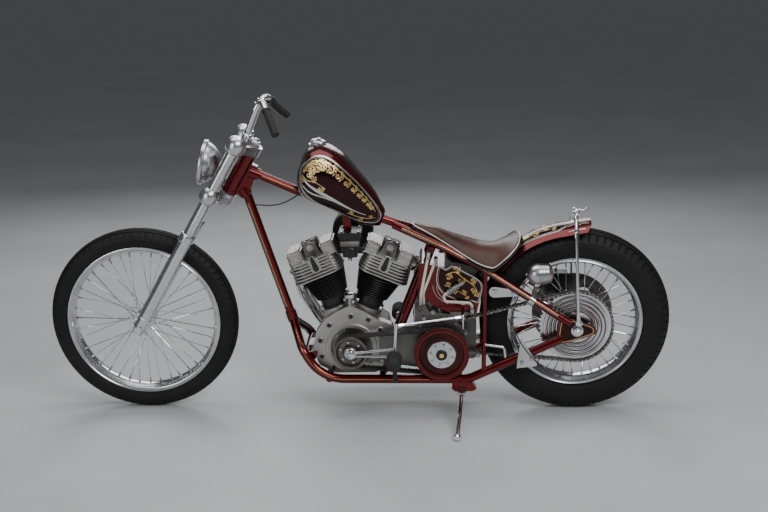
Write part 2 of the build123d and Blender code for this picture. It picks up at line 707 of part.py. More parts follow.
def valve_gear():
    """The open valve gear on the front head: springs, rockers, their shaft and its bracket."""
    top = HEAD_BASE + HEAD_CORE
    gear = Pos(-4, 0, top + 4) * Box(62, 84, 8)
    for x in (-20, 12):
        gear += spring_stack(x, 18, top + 7)
        gear += rod((x, 20, top + 50), (x, -34, top + 44), 7)
        gear += rod((x, -34, top + 8), (x, -34, top + 50), 6)
    gear += rod((-35, -6, top + 47), (27, -6, top + 47), 8)
    for x in (-32, 24):
        gear += Pos(x, -6, top + 26) * Box(6, 20, 46)
    bracket = plate([(-33, top), (25, top), (18, top + 46), (-4, top + 56), (-26, top + 46)], 34, 39, 6)
    return gear + bracket - disc(-4, top + 32, 9, 30, 45)


def engine(cradle, posts):
    """The open V-twin: case, finned barrels, finned heads and the valve gear on top."""
    at = cylinder_frame()
    body = [(136, 9), (105, 77), (50, 127), (-5, 153), (-60, 127), (-132, 77)]
    body += [(-150, -13), (-100, -89), (64, -91), (126, -61)]
    # The left cover's outline peaks between the barrels and runs back to a tip over the belt
    cover = [(2, 159), (48, 137), (92, 107), (126, 59), (139, -10), (118, -67), (60, -99)]
    cover += [(-88, -97), (-126, -53), (-126, 47), (-152, 71), (-148, 85), (-100, 103), (-48, 137)]
    cam_cover = [(110, 17), (70, 103), (0, 127), (-70, 103), (-124, 37), (-96, -53), (40, -83), (96, -43)]
    face = CASE_HALF + COVER_DEPTH
    case = plate(crank_outline(body), -CASE_HALF, CASE_HALF, 14)
    case += plate(crank_outline(cover), CASE_HALF, face, 10)
    case += plate(crank_outline(cam_cover), -CASE_HALF - 30, -CASE_HALF, 16)
    case += ring(CRANK_X, CRANK_Z, 90, 82, face, face + 6)
    case -= disc(CRANK_X, CRANK_Z, 78, face - 8, face + 1)
    case += disc(CRANK_X, CRANK_Z, 34, face - 8, face + 8)
    case += disc(CRANK_X, CRANK_Z, 24, face + 8, BELT_Y - BELT_WIDTH / 2 - SEAT_GAP)
    case += disc(CRANK_X, CRANK_Z, 62, -CASE_HALF - 48, -CASE_HALF - 30)
    # Bolt bosses on the left cover, from the crankshaft
    for x, z in ((0, 119), (78, 85), (112, 27), (108, -35), (66, -77), (-66, -77), (-104, 67), (-62, 107)):
        case += disc(CRANK_X + x, CRANK_Z + z, 9, face, face + 5)
    for x, z in ((72, 47), (30, 99), (-40, 99), (-92, 37), (-70, -39), (30, -59)):
        case += disc(CRANK_X + x, CRANK_Z + z, 8, -CASE_HALF - 34, -CASE_HALF - 30)
    spigot = rod((0, 0, 75), (0, 0, BARREL_BASE), 58)
    case += group(vee(at * spigot))
    cap_y = face - 6
    cap_x, cap_z = CRANK_X + 2, CRANK_Z + 155
    case += rod((cap_x, cap_y - 8, cap_z), (cap_x, cap_y - 8, cap_z + 32), 9)
    case += rod((cap_x, cap_y - 8, cap_z + 32), (cap_x, cap_y - 8, cap_z + 44), 21)
    barrel = rod((0, 0, BARREL_BASE), (0, 0, HEAD_BASE), 54)
    fin_step = (HEAD_BASE - BARREL_BASE - 8) / BARREL_FINS
    for number in range(BARREL_FINS):
        low = BARREL_BASE + 8 + number * fin_step
        barrel += rod((0, 0, low), (0, 0, low + 5), 76)
    ahead = block(CRANK_X + 1, CRANK_X + 400, -200, 200, 0, 900)
    barrel = (at * barrel) & ahead
    pushrods = []
    notches = []
    for along in (-22, 22):
        foot = Vector(CRANK_X + 34 + along * 0.5, -CASE_HALF - 22, CRANK_Z + 111)
        top = (at * Pos(along, -HEAD_FIN_HALF_Y + 12, HEAD_BASE + 10)).position
        above = at * block(-100, 100, -100, 0, HEAD_BASE - SEAT_GAP, HEAD_BASE + 60)
        pushrods.append(rod(foot, top, 8.5) - above)
        notches.append(rod(foot, top, 11))
    barrel -= group(notches)
    barrels = vee(barrel)
    for x in (CRANK_X + 80, CRANK_X - 110):
        case += block(x - 12, x + 12, -34, 34, RAIL_Z, RAIL_Z + 38)
    mount_x, mount_z = bay(162, MOUNT_Z)
    case += block(CRANK_X + 100, mount_x, -34, 34, mount_z - MOUNT_R, mount_z + MOUNT_R)
    case = case - group(barrels) - cradle - posts
    heads = vee(at * cylinder_head())
    heads = [head - group(barrels) for head in heads]
    pushrods = [largest(tube - case) for rods in pushrods for tube in vee(rods)]
    return {
        "crankcase": case,
        "cylinders": group(barrels),
        "cylinder_heads": group(heads),
        "valve_gear": group(vee(at * valve_gear())),
        "pushrod_tubes": group(pushrods),
    }


def crank_outline(points):
    """A side outline given from the crankshaft."""
    return [(CRANK_X + x, CRANK_Z + z) for x, z in points]


def breathing(heads, backbone):
    """Intake between the heads, air cleaner on the right, and the two exhaust pipes."""
    box = [(-25, 430), (25, 430), (36, 482), (40, 518), (-40, 518), (-36, 482)]
    manifold = plate(bay_outline(box), -40, 44, 4)
    middle = RAIL_Z + 482
    manifold += rod((CRANK_X, -40, middle), (CRANK_X, -104, middle), 22)
    manifold += rod((CRANK_X - 70, 0, middle - 34), (CRANK_X + 70, 0, middle - 34), 16)
    cleaner = rod((CRANK_X, -104 - SEAT_GAP, middle), (CRANK_X, -142, middle), 74)
    cleaner += rod((CRANK_X, -142, middle), (CRANK_X, -150, middle), 66, 58)
    low = -RAIL_HALF - 59
    tip_x = REAR_TYRE_R - 11
    front_run = [(203, -50, 365), (185, -78, 256), (105, -165, 86), (50, low, -26)]
    front_path = [bay_point(*point) for point in front_run] + [(tip_x, low, RAIL_Z - 26)]
    rear_run = [(-200, -52, 377), (-236, -140, 357), (-236, low, 42)]
    rear_path = [bay_point(*point) for point in rear_run] + [(tip_x, low, RAIL_Z + 42)]
    pipes = []
    for path, radii in ((front_path, [120, 120, 90]), (rear_path, [36, 70])):
        pipe = bent(path, radii, EXHAUST_R)
        end = Vector(path[-1])
        pipe -= rod(end - Vector(1, 0, 0), end + Vector(60, 0, 0), EXHAUST_R - 2)
        start, onward = Vector(path[0]), (Vector(path[1]) - Vector(path[0])).normalized()
        pipe += rod(start + onward * 14, start + onward * 22, EXHAUST_R + 8)
        pipes.append(largest(pipe - heads))
    return {
        "intake": largest(manifold - heads - backbone),
        "air_cleaner": cleaner,
        "exhaust_pipes": group(pipes),
    }


# Belt drive, clutch, gearbox and chain
def tangent_loop(small, large):
    """The outline round two circles, each (X, Z, radius), with its two straight tangents."""
    (x1, z1, r1), (x2, z2, r2) = small, large
    span = hypot(x2 - x1, z2 - z1)
    along = Vector((x2 - x1) / span, (z2 - z1) / span)
    across = Vector(-along.Y, along.X)
    lean_cos = (r1 - r2) / span
    lean_sin = sqrt(1 - lean_cos * lean_cos)
    above = along * lean_cos + across * lean_sin
    below = along * lean_cos - across * lean_sin
    first = Vector(x1, z1)
    second = Vector(x2, z2)
    corners = [first + above * r1, second + above * r2, second + below * r2, first + below * r1]
    edges = [
        Line(corners[0], corners[1]),
        ThreePointArc(corners[1], second + along * r2, corners[2]),
        Line(corners[2], corners[3]),
        ThreePointArc(corners[3], first - along * r1, corners[0]),
    ]
    return make_face(edges)


def loop_band(small, large, half_thick, y_low, y_high):
    """A closed band round two wheels, as wide as from y_low to y_high."""
    grow = [(x, z, r + half_thick) for x, z, r in (small, large)]
    shrink = [(x, z, r - half_thick) for x, z, r in (small, large)]
    section = tangent_loop(*grow) - tangent_loop(*shrink)
    return extrude(Pos(0, y_low, 0) * (Rot(90, 0, 0) * section), y_high - y_low, dir=(0, 1, 0))


def chain_rollers(small, large, y_low, y_high):
    """Rollers round the gearbox sprocket and along both runs, clear of the wheel's sprocket."""
    (x1, z1, r1), (x2, z2, r2) = small, large
    span = hypot(x2 - x1, z2 - z1)
    along = Vector((x2 - x1) / span, 0, (z2 - z1) / span)
    across = Vector(-along.Z, 0, along.X)
    lean_cos = (r1 - r2) / span
    lean_sin = sqrt(1 - lean_cos * lean_cos)
    centre = Vector(x1, 0, z1)
    free_run = span * lean_sin - 4 * CHAIN_PITCH
    places = []
    for side in (1, -1):
        out = along * lean_cos + across * (side * lean_sin)
        onward = along * lean_sin - across * (side * lean_cos)
        for number in range(int(free_run / CHAIN_PITCH)):
            places.append(centre + out * r1 + onward * (number * CHAIN_PITCH))
    wrap_count = int(2.4 * r1 / CHAIN_PITCH)
    for number in range(-wrap_count // 2, wrap_count // 2 + 1):
        turn = number * CHAIN_PITCH / r1
        places.append(centre - along * (r1 * cos(turn)) + across * (r1 * sin(turn)))
    face = RegularPolygon(CHAIN_ROLLER_R, 6)
    at = Rot(90, 0, 0) * face
    return [extrude(Pos(spot.X, y_low, spot.Z) * at, y_high - y_low, dir=(0, 1, 0)) for spot in places]


def clutch_outline(points):
    """A side outline given from the clutch."""
    return [(CLUTCH_X + x, CLUTCH_Z + z) for x, z in points]


def gearbox_case():
    """The gearbox with its clutch carrier, selector tower and rear shelf."""
    inner_y = CHAIN_Y - 22
    plate_y = CASE_HALF + 42
    belt_low = BELT_Y - BELT_WIDTH / 2
    chain_y = CHAIN_Y - CHAIN_GAP / 2 - CHAIN_PLATE_THICK - MOVING_GAP
    carrier = [(223, -51), (223, 65), (83, 91), (-57, 101), (-95, 65), (-95, -61), (43, -77)]
    box = [(89, -57), (89, 65), (43, 119), (-73, 119), (-125, 75), (-125, -57)]
    tower = [(94, 97), (94, 144), (80, 160), (56, 160), (44, 138), (-30, 127), (-30, 97)]
    shelf = [(-30, 90), (-30, 137), (-121, 137), (-121, 131), (-66, 118), (-57, 90)]
    gearbox = plate(clutch_outline(box), -84, inner_y, 14)
    gearbox += plate(clutch_outline(box), -96, -90, 14) + disc(CLUTCH_X, CLUTCH_Z + 30, 40, -104, -84)
    gearbox += plate(clutch_outline(carrier), plate_y, plate_y + 7, 14)
    gearbox += disc(CLUTCH_X, CLUTCH_Z, 30, plate_y + 7, belt_low - SEAT_GAP)
    gearbox += plate(clutch_outline(tower), 30, plate_y - 2, 5)
    gearbox += block(CLUTCH_X + 20, CLUTCH_X + 84, 30, inner_y, CLUTCH_Z + 40, CLUTCH_Z + 100)
    gearbox += block(CLUTCH_X - 119, CLUTCH_X - 30, 24, chain_y, CLUTCH_Z + 70, CLUTCH_Z + 122)
    gearbox += plate(clutch_outline(shelf), plate_y - 7, plate_y)
    gearbox += block(CLUTCH_X - 121, CLUTCH_X - 95, plate_y - 1, plate_y + 14, CLUTCH_Z + 131, CLUTCH_Z + 137)
    for x, z in ((62, 118), (-6, 116), (30, 142)):
        gearbox += disc(CLUTCH_X + x, CLUTCH_Z + z - 3, 8, plate_y - 3, plate_y + 4)
    gearbox += disc(GEARBOX_SPROCKET_X, GEARBOX_SPROCKET_Z, 26, 0, plate_y + 2)
    gearbox += block(CLUTCH_X - 74, CLUTCH_X - 50, -60, 50, RAIL_Z, RAIL_Z + 58)
    sprocket_r = GEARBOX_SPROCKET_R - CHAIN_ROLLER_R - SEAT_GAP
    half = SPROCKET_THICK / 2
    return gearbox + disc(GEARBOX_SPROCKET_X, GEARBOX_SPROCKET_Z, sprocket_r, CHAIN_Y - half, CHAIN_Y + half)


def drive(case, cradle):
    """Open belt primary, clutch, gearbox with its plate, and the final chain."""
    belt_low = BELT_Y - BELT_WIDTH / 2
    belt_high = BELT_Y + BELT_WIDTH / 2
    front = (CRANK_X, CRANK_Z, PULLEY_R)
    rear = (CLUTCH_X, CLUTCH_Z, CLUTCH_R - 14)
    belt = loop_band(front, rear, BELT_THICK / 2, belt_low + 2, belt_high - 2)
    clear = BELT_THICK / 2 + SEAT_GAP
    pulley = disc(CRANK_X, CRANK_Z, PULLEY_R - clear, belt_low, belt_high)
    pulley += disc(CRANK_X, CRANK_Z, PULLEY_R + 6, belt_high, belt_high + 3)
    pulley -= ring(CRANK_X, CRANK_Z, PULLEY_R - 8, 24, belt_high - 10, belt_high + 4)
    pulley += disc(CRANK_X, CRANK_Z, 20, belt_high + 3, belt_high + 18)
    basket = disc(CLUTCH_X, CLUTCH_Z, rear[2] - clear, belt_low, belt_high)
    basket += disc(CLUTCH_X, CLUTCH_Z, CLUTCH_R - 18 - SEAT_GAP, belt_high, belt_high + 4)
    basket += disc(CLUTCH_X, CLUTCH_Z, 58, belt_high + 4, belt_high + 10)
    cover = ring(CLUTCH_X, CLUTCH_Z, CLUTCH_R, CLUTCH_R - 18, belt_high + SEAT_GAP, belt_high + 12)
    cover += ring(CLUTCH_X, CLUTCH_Z, CLUTCH_R - 6, CLUTCH_R - 14, belt_high + 12, belt_high + 15)
    hub_disc = disc(CLUTCH_X, CLUTCH_Z, 51, belt_high + 10, belt_high + 18)
    hub_disc += disc(CLUTCH_X, CLUTCH_Z, 18, belt_high + 18, belt_high + 28)
    for number in range(6):
        turn = radians(60 * number + 15)
        spot = (CLUTCH_X + 36 * cos(turn), CLUTCH_Z + 36 * sin(turn))
        hub_disc += disc(*spot, 5, belt_high + 18, belt_high + 23)
    small = (GEARBOX_SPROCKET_X, GEARBOX_SPROCKET_Z, GEARBOX_SPROCKET_R)
    large = (0, REAR_AXLE_Z, WHEEL_SPROCKET_R)
    near = CHAIN_GAP / 2
    reach = near + CHAIN_PLATE_THICK
    chain = loop_band(small, large, CHAIN_HALF_HEIGHT, CHAIN_Y + near, CHAIN_Y + reach)
    chain += loop_band(small, large, CHAIN_HALF_HEIGHT, CHAIN_Y - reach, CHAIN_Y - near)
    chain += group(chain_rollers(small, large, CHAIN_Y - near - 1, CHAIN_Y + near + 1))
    return {
        "front_pulley": pulley,
        "drive_belt": belt,
        "clutch_basket": basket,
        "clutch_cover": cover,
        "clutch_hub": hub_disc,
        "gearbox": gearbox_case() - case - cradle,
        "final_chain": chain,
    }


# Bodywork
def fuel_tank(spine):
    """The teardrop tank over the backbone, lofted along the tube, and its filler cap."""
    # Columns: along the tank from its tail, half width, underside, top
    sections = [
        (0, 16, -34, 18),
        (60, 52, -50, 78),
        (140, 84, -38, 130),
        (215, 106, -30, 172),
        (285, 112, -22, 183),
        (322, 88, 10, 160),
        (336, 48, 50, 130),
    ]
    turn = radians(TANK_ANGLE)
    tail = bay_point(-119, 0, 570)
    faces = []
    for along, half, low, high in sections:
        corner = min(half, (high - low) / 2) * 0.82
        origin = (tail[0] + along * cos(turn), 0, tail[2] + along * sin(turn))
        plane = Plane(origin=origin, x_dir=(0, 1, 0), z_dir=(cos(turn), 0, sin(turn)))
        outline = RectangleRounded(2 * half, high - low, corner)
        faces.append(plane * Pos(0, (high + low) / 2) * outline)
    body = loft(faces)
    body -= backbone_tube(TUBE_R + SEAT_GAP)
    # The tunnel stays open below the backbone, so the tank lifts off
    spine_line = [(x, z) for x, _, z in BACKBONE_PATH]
    tunnel = spine_line + [(x, z - 70) for x, z in reversed(spine_line)]
    body -= plate(tunnel, -TUBE_R - MOVING_GAP, TUBE_R + MOVING_GAP)
    cap_at = Pos(*bay_point(106, 0, 822)) * Rot(0, -TANK_ANGLE * 0.5, 0)
    cap = cap_at * Cylinder(19, 26) + cap_at * (Pos(0, 0, 16) * Cylinder(27, 14))
    return {"fuel_tank": largest(body - spine - cap), "fuel_cap": cap}


def oil_tank():
    """The oil tank in the rear triangle, its back curved round the tyre."""
    points = [(-244, 430), (-334, 402), (-504, 334), (-470, 234), (-350, 240), (-240, 288)]
    tank = plate(bay_outline(points), -92, 92, 18)
    tank -= disc(0, REAR_AXLE_Z, REAR_TYRE_R + 15, -200, 200)
    return tank


def oil_lines(tank, gearbox, frame_parts):
    """Three hoses between the tank, the frame's lug and the gearbox, with their fittings."""
    hose_y = 108.0
    lug = bay_point(-288, 60, 460)
    first_top = bay_point(-279, hose_y - 2, 462)
    second_top = bay_point(-304, hose_y, 440)
    tower = CLUTCH_Z + 160
    first_low = (CRANK_X - 250, 88, tower)
    second_low = (CRANK_X - 262, 84, tower)
    hoses = [
        bent([first_top, (first_low[0], hose_y, tower + 40), first_low], [60], HOSE_R),
        bent([second_top, (second_low[0] + 4, hose_y - 6, tower + 46), second_low], [60], HOSE_R),
    ]
    shelf = Vector(CLUTCH_X - 109, CASE_HALF + 46, CLUTCH_Z + 137)
    joint_low = Vector(*bay_point(-343, hose_y, 318))
    joint_high = Vector(*bay_point(-402, hose_y, 358))
    along = (joint_high - joint_low).normalized()
    bend = joint_low - along * 16
    third = [joint_low, bend, bend + Vector(-6, 0, -23), shelf + Vector(2, 2, 36), shelf + Vector(0, 0, 12)]
    hoses.append(bent(third, [14, 14, 18], HOSE_R))
    second = rod(Vector(*second_top) + Vector(0, -26, 0), Vector(*second_top) + Vector(0, 5, 0), 7)
    second += rod(Vector(*second_top) + Vector(0, -24, -40), Vector(*second_top) + Vector(0, -24, 4), 6.5)
    joint = rod(joint_low, joint_high, 7)
    for number in range(5):
        start = joint_low + along * (6 + 9 * number)
        joint += rod(start, start + along * 5, 12)
    joint += rod(joint_high - along * 22 + Vector(0, -18, 0), joint_high - along * 22, 6)
    cup = rod(shelf, shelf + Vector(0, 0, 13), 10)
    parts = [fittings_cut(rod(lug, first_top, 6.5), frame_parts), second - tank, joint - tank, cup]
    blocked = group(parts) + tank + gearbox
    return {"oil_lines": [largest(hose - blocked) for hose in hoses], "oil_fittings": parts}


def fittings_cut(fitting, frame_parts):
    """A fitting cut back to the face of the frame tube that carries it."""
    return largest(fitting - frame_parts)


def seat():
    """The low saddle: a side outline cut to its plan, kicked up over the fender."""
    top = [(-216, 550), (-280, 532), (-370, 494), (-430, 464), (-480, 464), (-538, 502), (-594, 536)]
    under = [(-610, 504), (-564, 470), (-500, 420), (-455, 420), (-318, 488), (-216, 526)]
    side = plate(bay_outline(top + under), -140, 140)
    # Columns: X from the engine bay, half width
    plan = [(-210, 26), (-260, 44), (-340, 84), (-420, 116), (-500, 124), (-570, 112), (-620, 92)]
    outline = plan + [(x, -half) for x, half in reversed(plan)]
    sheet = fillet(Polygon(*outline, align=None).vertices(), 12)
    cushion = side & Pos(CRANK_X, 0, RAIL_Z) * extrude(Pos(0, 0, 300) * sheet, 400)
    under_tubes = [backbone_tube(TUBE_R + SEAT_GAP), *both_sides(stay_tube(STAY_R + SEAT_GAP))]
    cushion -= group(under_tubes)
    cushion -= disc(0, REAR_AXLE_Z, REAR_TYRE_R + FENDER_CLEAR + FENDER_THICK + SEAT_GAP, -200, 200)
    return largest(cushion)


FENDER_START = 37.0
FENDER_TURN = 43.0
FENDER_TAIL = 112.0


def rear_fender():
    """A round-crowned fender turned over the wheel, running straight off into a cut tail."""
    inner = REAR_TYRE_R + FENDER_CLEAR
    outer = inner + FENDER_THICK
    low = REAR_TYRE_R - 6
    half = FENDER_HALF
    inside = half - FENDER_THICK
    section = make_face(
        [
            ThreePointArc((low, half), (outer, 0), (low, -half)),
            Line((low, -half), (low, -inside)),
            ThreePointArc((low, -inside), (inner, 0), (low, inside)),
            Line((low, inside), (low, half)),
        ]
    )
    # Turned from the section on the +X side, up over the wheel
    upright = Rot(90, 0, 0) * section
    shell = revolve(upright, Axis.Z, FENDER_TURN)
    turn = radians(FENDER_TURN)
    shell += extrude(Rot(0, 0, FENDER_TURN) * upright, FENDER_TAIL, dir=(-sin(turn), cos(turn), 0))
    shell = Pos(0, 0, REAR_AXLE_Z) * Rot(0, -FENDER_START, 0) * Rot(90, 0, 0) * shell
    # The tail is cut on a slant, so its lower corners lie ahead of its lip
    behind = plate(axle_outline([(-52, 400), (-52, 372), (-14, 320), (-200, 320), (-200, 400)]), -200, 200)
    return shell - behind


def fittings(fender):
    """Chrome struts, tail lamp, chain guard, caliper, pegs and linkages."""
    plate_face = DROPOUT_HALF + PLATE_THICK / 2
    foot = (-5, plate_face + 10, REAR_AXLE_Z + 30)
    strut_path = [foot]
    for x, y, z in ((14, 92, 349), (8, 62, 421), (-10, 0, 429)):
        strut_path.append((x, y, REAR_AXLE_Z + z))
    strut = bent(strut_path, [60, 30], 6)
    strut += disc(foot[0], foot[2], 11, plate_face, plate_face + 14)
    strut += rod((13, 40, REAR_AXLE_Z + 345), (13, 99, REAR_AXLE_Z + 345), 7)
    strut = largest(strut - fender)
    struts = strut + mirror(strut, Plane.XZ)
    struts += rod((-10, -15, REAR_AXLE_Z + 429), (-10, 15, REAR_AXLE_Z + 429), 11)
    struts += rod((-12, 0, REAR_AXLE_Z + 430), (-44, 0, REAR_AXLE_Z + 420), 5)
    struts += rod((-44, -12, REAR_AXLE_Z + 420), (-44, 12, REAR_AXLE_Z + 420), 5)
    return {"fender_struts": struts, "brake_caliper": brake_caliper(), **rear_trim()}


def rear_trim():
    """The tail lamp on the left stay, the blade plate, and the tear-shaped chain arm."""
    profile = [
        dome(38, -44, 0),
        Line((38, -44), (36, -80)),
        dome(36, -80, -89),
        Line((0, -89), (0, 0)),
    ]
    stay_x = 131.0
    lamp_z = REAR_AXLE_Z + 219
    bullet = revolve(Rot(90, 0, 0) * make_face(profile), Axis.Z)
    lamp = Pos(stay_x + 46, 122, lamp_z) * Rot(0, 90, 0) * bullet
    bracket = [(stay_x - 12, 200), (stay_x + 14, 200), (stay_x + 52, 120), (stay_x + 10, 96), (stay_x - 10, 96)]
    lamp += plate(axle_outline(bracket), 112, 120, 4)
    lamp -= stay_tube(STAY_R)
    guard = [(262, 99), (238, 105), (150, -95), (108, -133), (118, -147), (202, -133)]
    guard_y = DROPOUT_HALF + 3 + TUBE_R + SEAT_GAP
    blade = plate(axle_outline(guard), guard_y, guard_y + 4, 5)
    arm = plate(axle_outline([(300, 156), (300, 118), (286, 114), (222, 112), (206, 150), (230, 160)]), 100, 106, 6)
    arm += disc(291, REAR_AXLE_Z + 137, 21, 100, 108)
    arm = largest(arm - stay_tube(STAY_R))
    return {"tail_lamp": largest(lamp), "chain_guard": group(blade, arm)}


def brake_caliper():
    """The rear brake caliper round the disc, on an arm from the axle."""
    caliper = block(20, 96, -102, -56, REAR_AXLE_Z + 86, REAR_AXLE_Z + 152)
    arm = [(-18, -18), (20, -18), (94, 100), (24, 130)]
    caliper += plate(axle_outline(arm), -101, -95, 8)
    caliper -= disc(0, REAR_AXLE_Z, REAR_AXLE_R + SEAT_GAP, -200, 0)
    slot = DISC_THICK / 2 + 2.5
    return caliper - disc(0, REAR_AXLE_Z, DISC_R + MOVING_GAP, DISC_Y - slot, DISC_Y + slot)


PEG_R = 27.0


def foot_controls(cradle, gearbox, pulley, posts):
    """A mid peg on each side with its carrier, and the shift linkage on the left."""
    peg_x, peg_z = bay(-158, 118)
    arm_y = RAIL_HALF + 52
    rail_top = RAIL_Z + 9
    shaft = bent([(peg_x, RAIL_HALF, rail_top), (peg_x, arm_y, rail_top), (peg_x, arm_y, peg_z)], [14], 8)
    arm = shaft + rod((peg_x, arm_y - 14, peg_z), (peg_x, RAIL_HALF + 150, peg_z), 8.5)
    peg = rod((peg_x, 212, peg_z), (peg_x, 300, peg_z), PEG_R) - arm
    front_end = bay_point(-165, 200, 230)
    rear_end = (CLUTCH_X - 75, 150, CLUTCH_Z + 137)
    shift = rod(front_end, rear_end, 4.5) + rod(front_end, (peg_x, 200, peg_z), 6)
    lever_y = CASE_HALF + 45.5
    lever_x, lever_z = rear_end[0], rear_end[2]
    shift += rod(rear_end, (lever_x, lever_y - 4, lever_z), 6)
    shift += rod((lever_x, lever_y, lever_z + 5), (lever_x, lever_y, lever_z - 62), 5)
    boss_y = BELT_Y + BELT_WIDTH / 2 + 11
    braces = []
    for high, low in ((4, 6), (-6, -22)):
        brace = rod((CRANK_X - 4, boss_y, CRANK_Z + high), (peg_x, arm_y - 4, peg_z + low + 10), 5)
        braces.append(largest(brace - arm - pulley))
    # The hook on the rear post runs back and turns down beside the tyre
    reach = DROPOUT_HALF + 4
    hook = [(REAR_TYRE_R - 15, reach - 6, CLUTCH_Z + 22), (CLUTCH_X - 222, reach, CLUTCH_Z + 14)]
    hook.append((CLUTCH_X - 226, reach, CLUTCH_Z - 24))
    hook = largest(bent(hook, [12], 5) - posts)
    arm -= cradle
    shift = largest(shift - arm - peg - gearbox)
    return {
        "foot_controls": both_sides(arm),
        "foot_pegs": both_sides(peg),
        "shift_rod": group(shift, braces, hook),
    }


def neck_cable(blocked):
    """A thin cable from the down tube's root to the underside of the tank."""
    path = [(NECK.X - 44, 0, NECK.Z - 118), bay_point(246, 16, 614), bay_point(150, 34, 676)]
    return largest(bent(path, [160], 2.2) - blocked)


def model():
    """Every sub-part by name, on the upright bike."""
    nodes = {}
    nodes.update(frame())
    nodes.update(engine(nodes["frame_cradle"], nodes["frame_posts"]))
    nodes.update(breathing(nodes["cylinder_heads"], nodes["frame_backbone"]))
    nodes.update(drive(nodes["crankcase"], nodes["frame_cradle"]))
    nodes.update(fuel_tank(nodes["frame_backbone"]))
    nodes["oil_tank"] = oil_tank() - nodes["frame_stays"] - nodes["frame_posts"]
    nodes.update(oil_lines(nodes["oil_tank"], nodes["gearbox"], nodes["frame_posts"]))
    nodes["seat"] = seat()
    nodes["rear_fender"] = rear_fender()
    nodes.update(fittings(nodes["rear_fender"]))
    metal = [nodes[name] for name in ("frame_cradle", "gearbox", "front_pulley", "frame_posts")]
    nodes.update(foot_controls(*metal))
    nodes.update(rear_axle())
    nodes.update(fork())
    nodes.update(headlamp())
    nodes.update(front_wheel())
    nodes.update(rear_wheel())
    nodes.update(side_stand())
    welded = group(nodes["frame_backbone"], nodes["frame_cradle"], nodes["fuel_tank"])
    nodes["neck_cable"] = neck_cable(welded)
    return {name: group(shape) for name, shape in nodes.items()}


def main():
    """Lean the bike onto its stand and write each sub-part to its own file."""
    os.makedirs("parts", exist_ok=True)
    nodes = model()
    place = lean_over(Compound([solid for shape in nodes.values() for solid in shape.solids()]))
    for name, shape in nodes.items():
        export_step(place * shape, f"parts/{name}.step")


if __name__ == "__main__":
    main()
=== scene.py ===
"""The looks of a hardtail chopper with an open V-twin, parked leaning on its side stand.

Shapes are worked out on the upright bike in millimetres, X forward from the rear axle, Y to the
rider's left and Z up from the floor, and then leaned into the frame's own place in metres.
"""

import json
from math import cos, pi, radians, sin

import bpy
import numpy as np
from mathutils import Matrix, Vector

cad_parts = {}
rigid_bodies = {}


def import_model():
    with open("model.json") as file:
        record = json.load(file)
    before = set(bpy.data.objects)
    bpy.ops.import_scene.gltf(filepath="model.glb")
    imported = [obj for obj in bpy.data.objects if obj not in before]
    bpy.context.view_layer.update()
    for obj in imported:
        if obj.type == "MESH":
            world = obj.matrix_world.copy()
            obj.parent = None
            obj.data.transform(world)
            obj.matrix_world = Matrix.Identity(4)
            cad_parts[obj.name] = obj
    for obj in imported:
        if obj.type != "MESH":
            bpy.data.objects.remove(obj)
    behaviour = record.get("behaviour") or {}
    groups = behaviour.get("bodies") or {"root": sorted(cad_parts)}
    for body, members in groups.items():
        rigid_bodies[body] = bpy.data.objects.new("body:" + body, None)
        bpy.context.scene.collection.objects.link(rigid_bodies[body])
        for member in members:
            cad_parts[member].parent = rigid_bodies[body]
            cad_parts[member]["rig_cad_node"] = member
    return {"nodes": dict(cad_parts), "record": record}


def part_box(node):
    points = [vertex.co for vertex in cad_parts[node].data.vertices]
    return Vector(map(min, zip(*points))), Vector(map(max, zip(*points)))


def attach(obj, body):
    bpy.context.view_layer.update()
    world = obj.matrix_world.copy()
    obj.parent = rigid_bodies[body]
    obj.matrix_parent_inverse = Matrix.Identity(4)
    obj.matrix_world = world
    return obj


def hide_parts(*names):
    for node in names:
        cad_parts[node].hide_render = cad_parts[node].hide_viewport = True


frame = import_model()
for thing in list(bpy.data.objects):
    if thing.get("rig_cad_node") is None and not thing.name.startswith("body:"):
        bpy.data.objects.remove(thing)
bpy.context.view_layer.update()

# Stance of the bike, as the part's source has it
WHEELBASE = 1562.0
LEAN = radians(5.0)
COS_LEAN = cos(LEAN)
SIN_LEAN = sin(LEAN)
FRONT_TYRE_R = 344.0
FRONT_TYRE_HALF = 40.0
FRONT_RIM_R = 281.0
FRONT_RIM_HALF = 32.0
REAR_TYRE_R = 341.0
REAR_TYRE_HALF = 60.0
REAR_RIM_R = 242.5
REAR_RIM_HALF = 42.0
FRONT_AXLE_Z = FRONT_TYRE_R
LEAN_LIFT = FRONT_TYRE_HALF * (1 - COS_LEAN)
REAR_AXLE_Z = REAR_TYRE_R - REAR_TYRE_HALF + (REAR_TYRE_HALF - LEAN_LIFT) / COS_LEAN
FRONT_WHEEL = (WHEELBASE, 0.0, FRONT_AXLE_Z)
REAR_WHEEL = (0.0, 0.0, REAR_AXLE_Z)
LEFT = (0, 1, 0)
RIGHT = (0, -1, 0)
UP = (0, 0, 1)

axle_low, axle_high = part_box("rear_axle")
AXLE_MIDDLE = (np.array(axle_low) + np.array(axle_high)) / 2 * 1000
SHIFT_X = AXLE_MIDDLE[0]
SHIFT_Y = AXLE_MIDDLE[1] - SIN_LEAN * REAR_AXLE_Z


def place(points):
    """Leans upright millimetres onto the stand and gives metres in the frame's place."""
    p = np.asarray(points, float)
    x = p[..., 0] + SHIFT_X
    y = COS_LEAN * p[..., 1] + SIN_LEAN * p[..., 2] + SHIFT_Y
    z = -SIN_LEAN * p[..., 1] + COS_LEAN * p[..., 2] + LEAN_LIFT
    return np.stack([x, y, z], axis=-1) / 1000


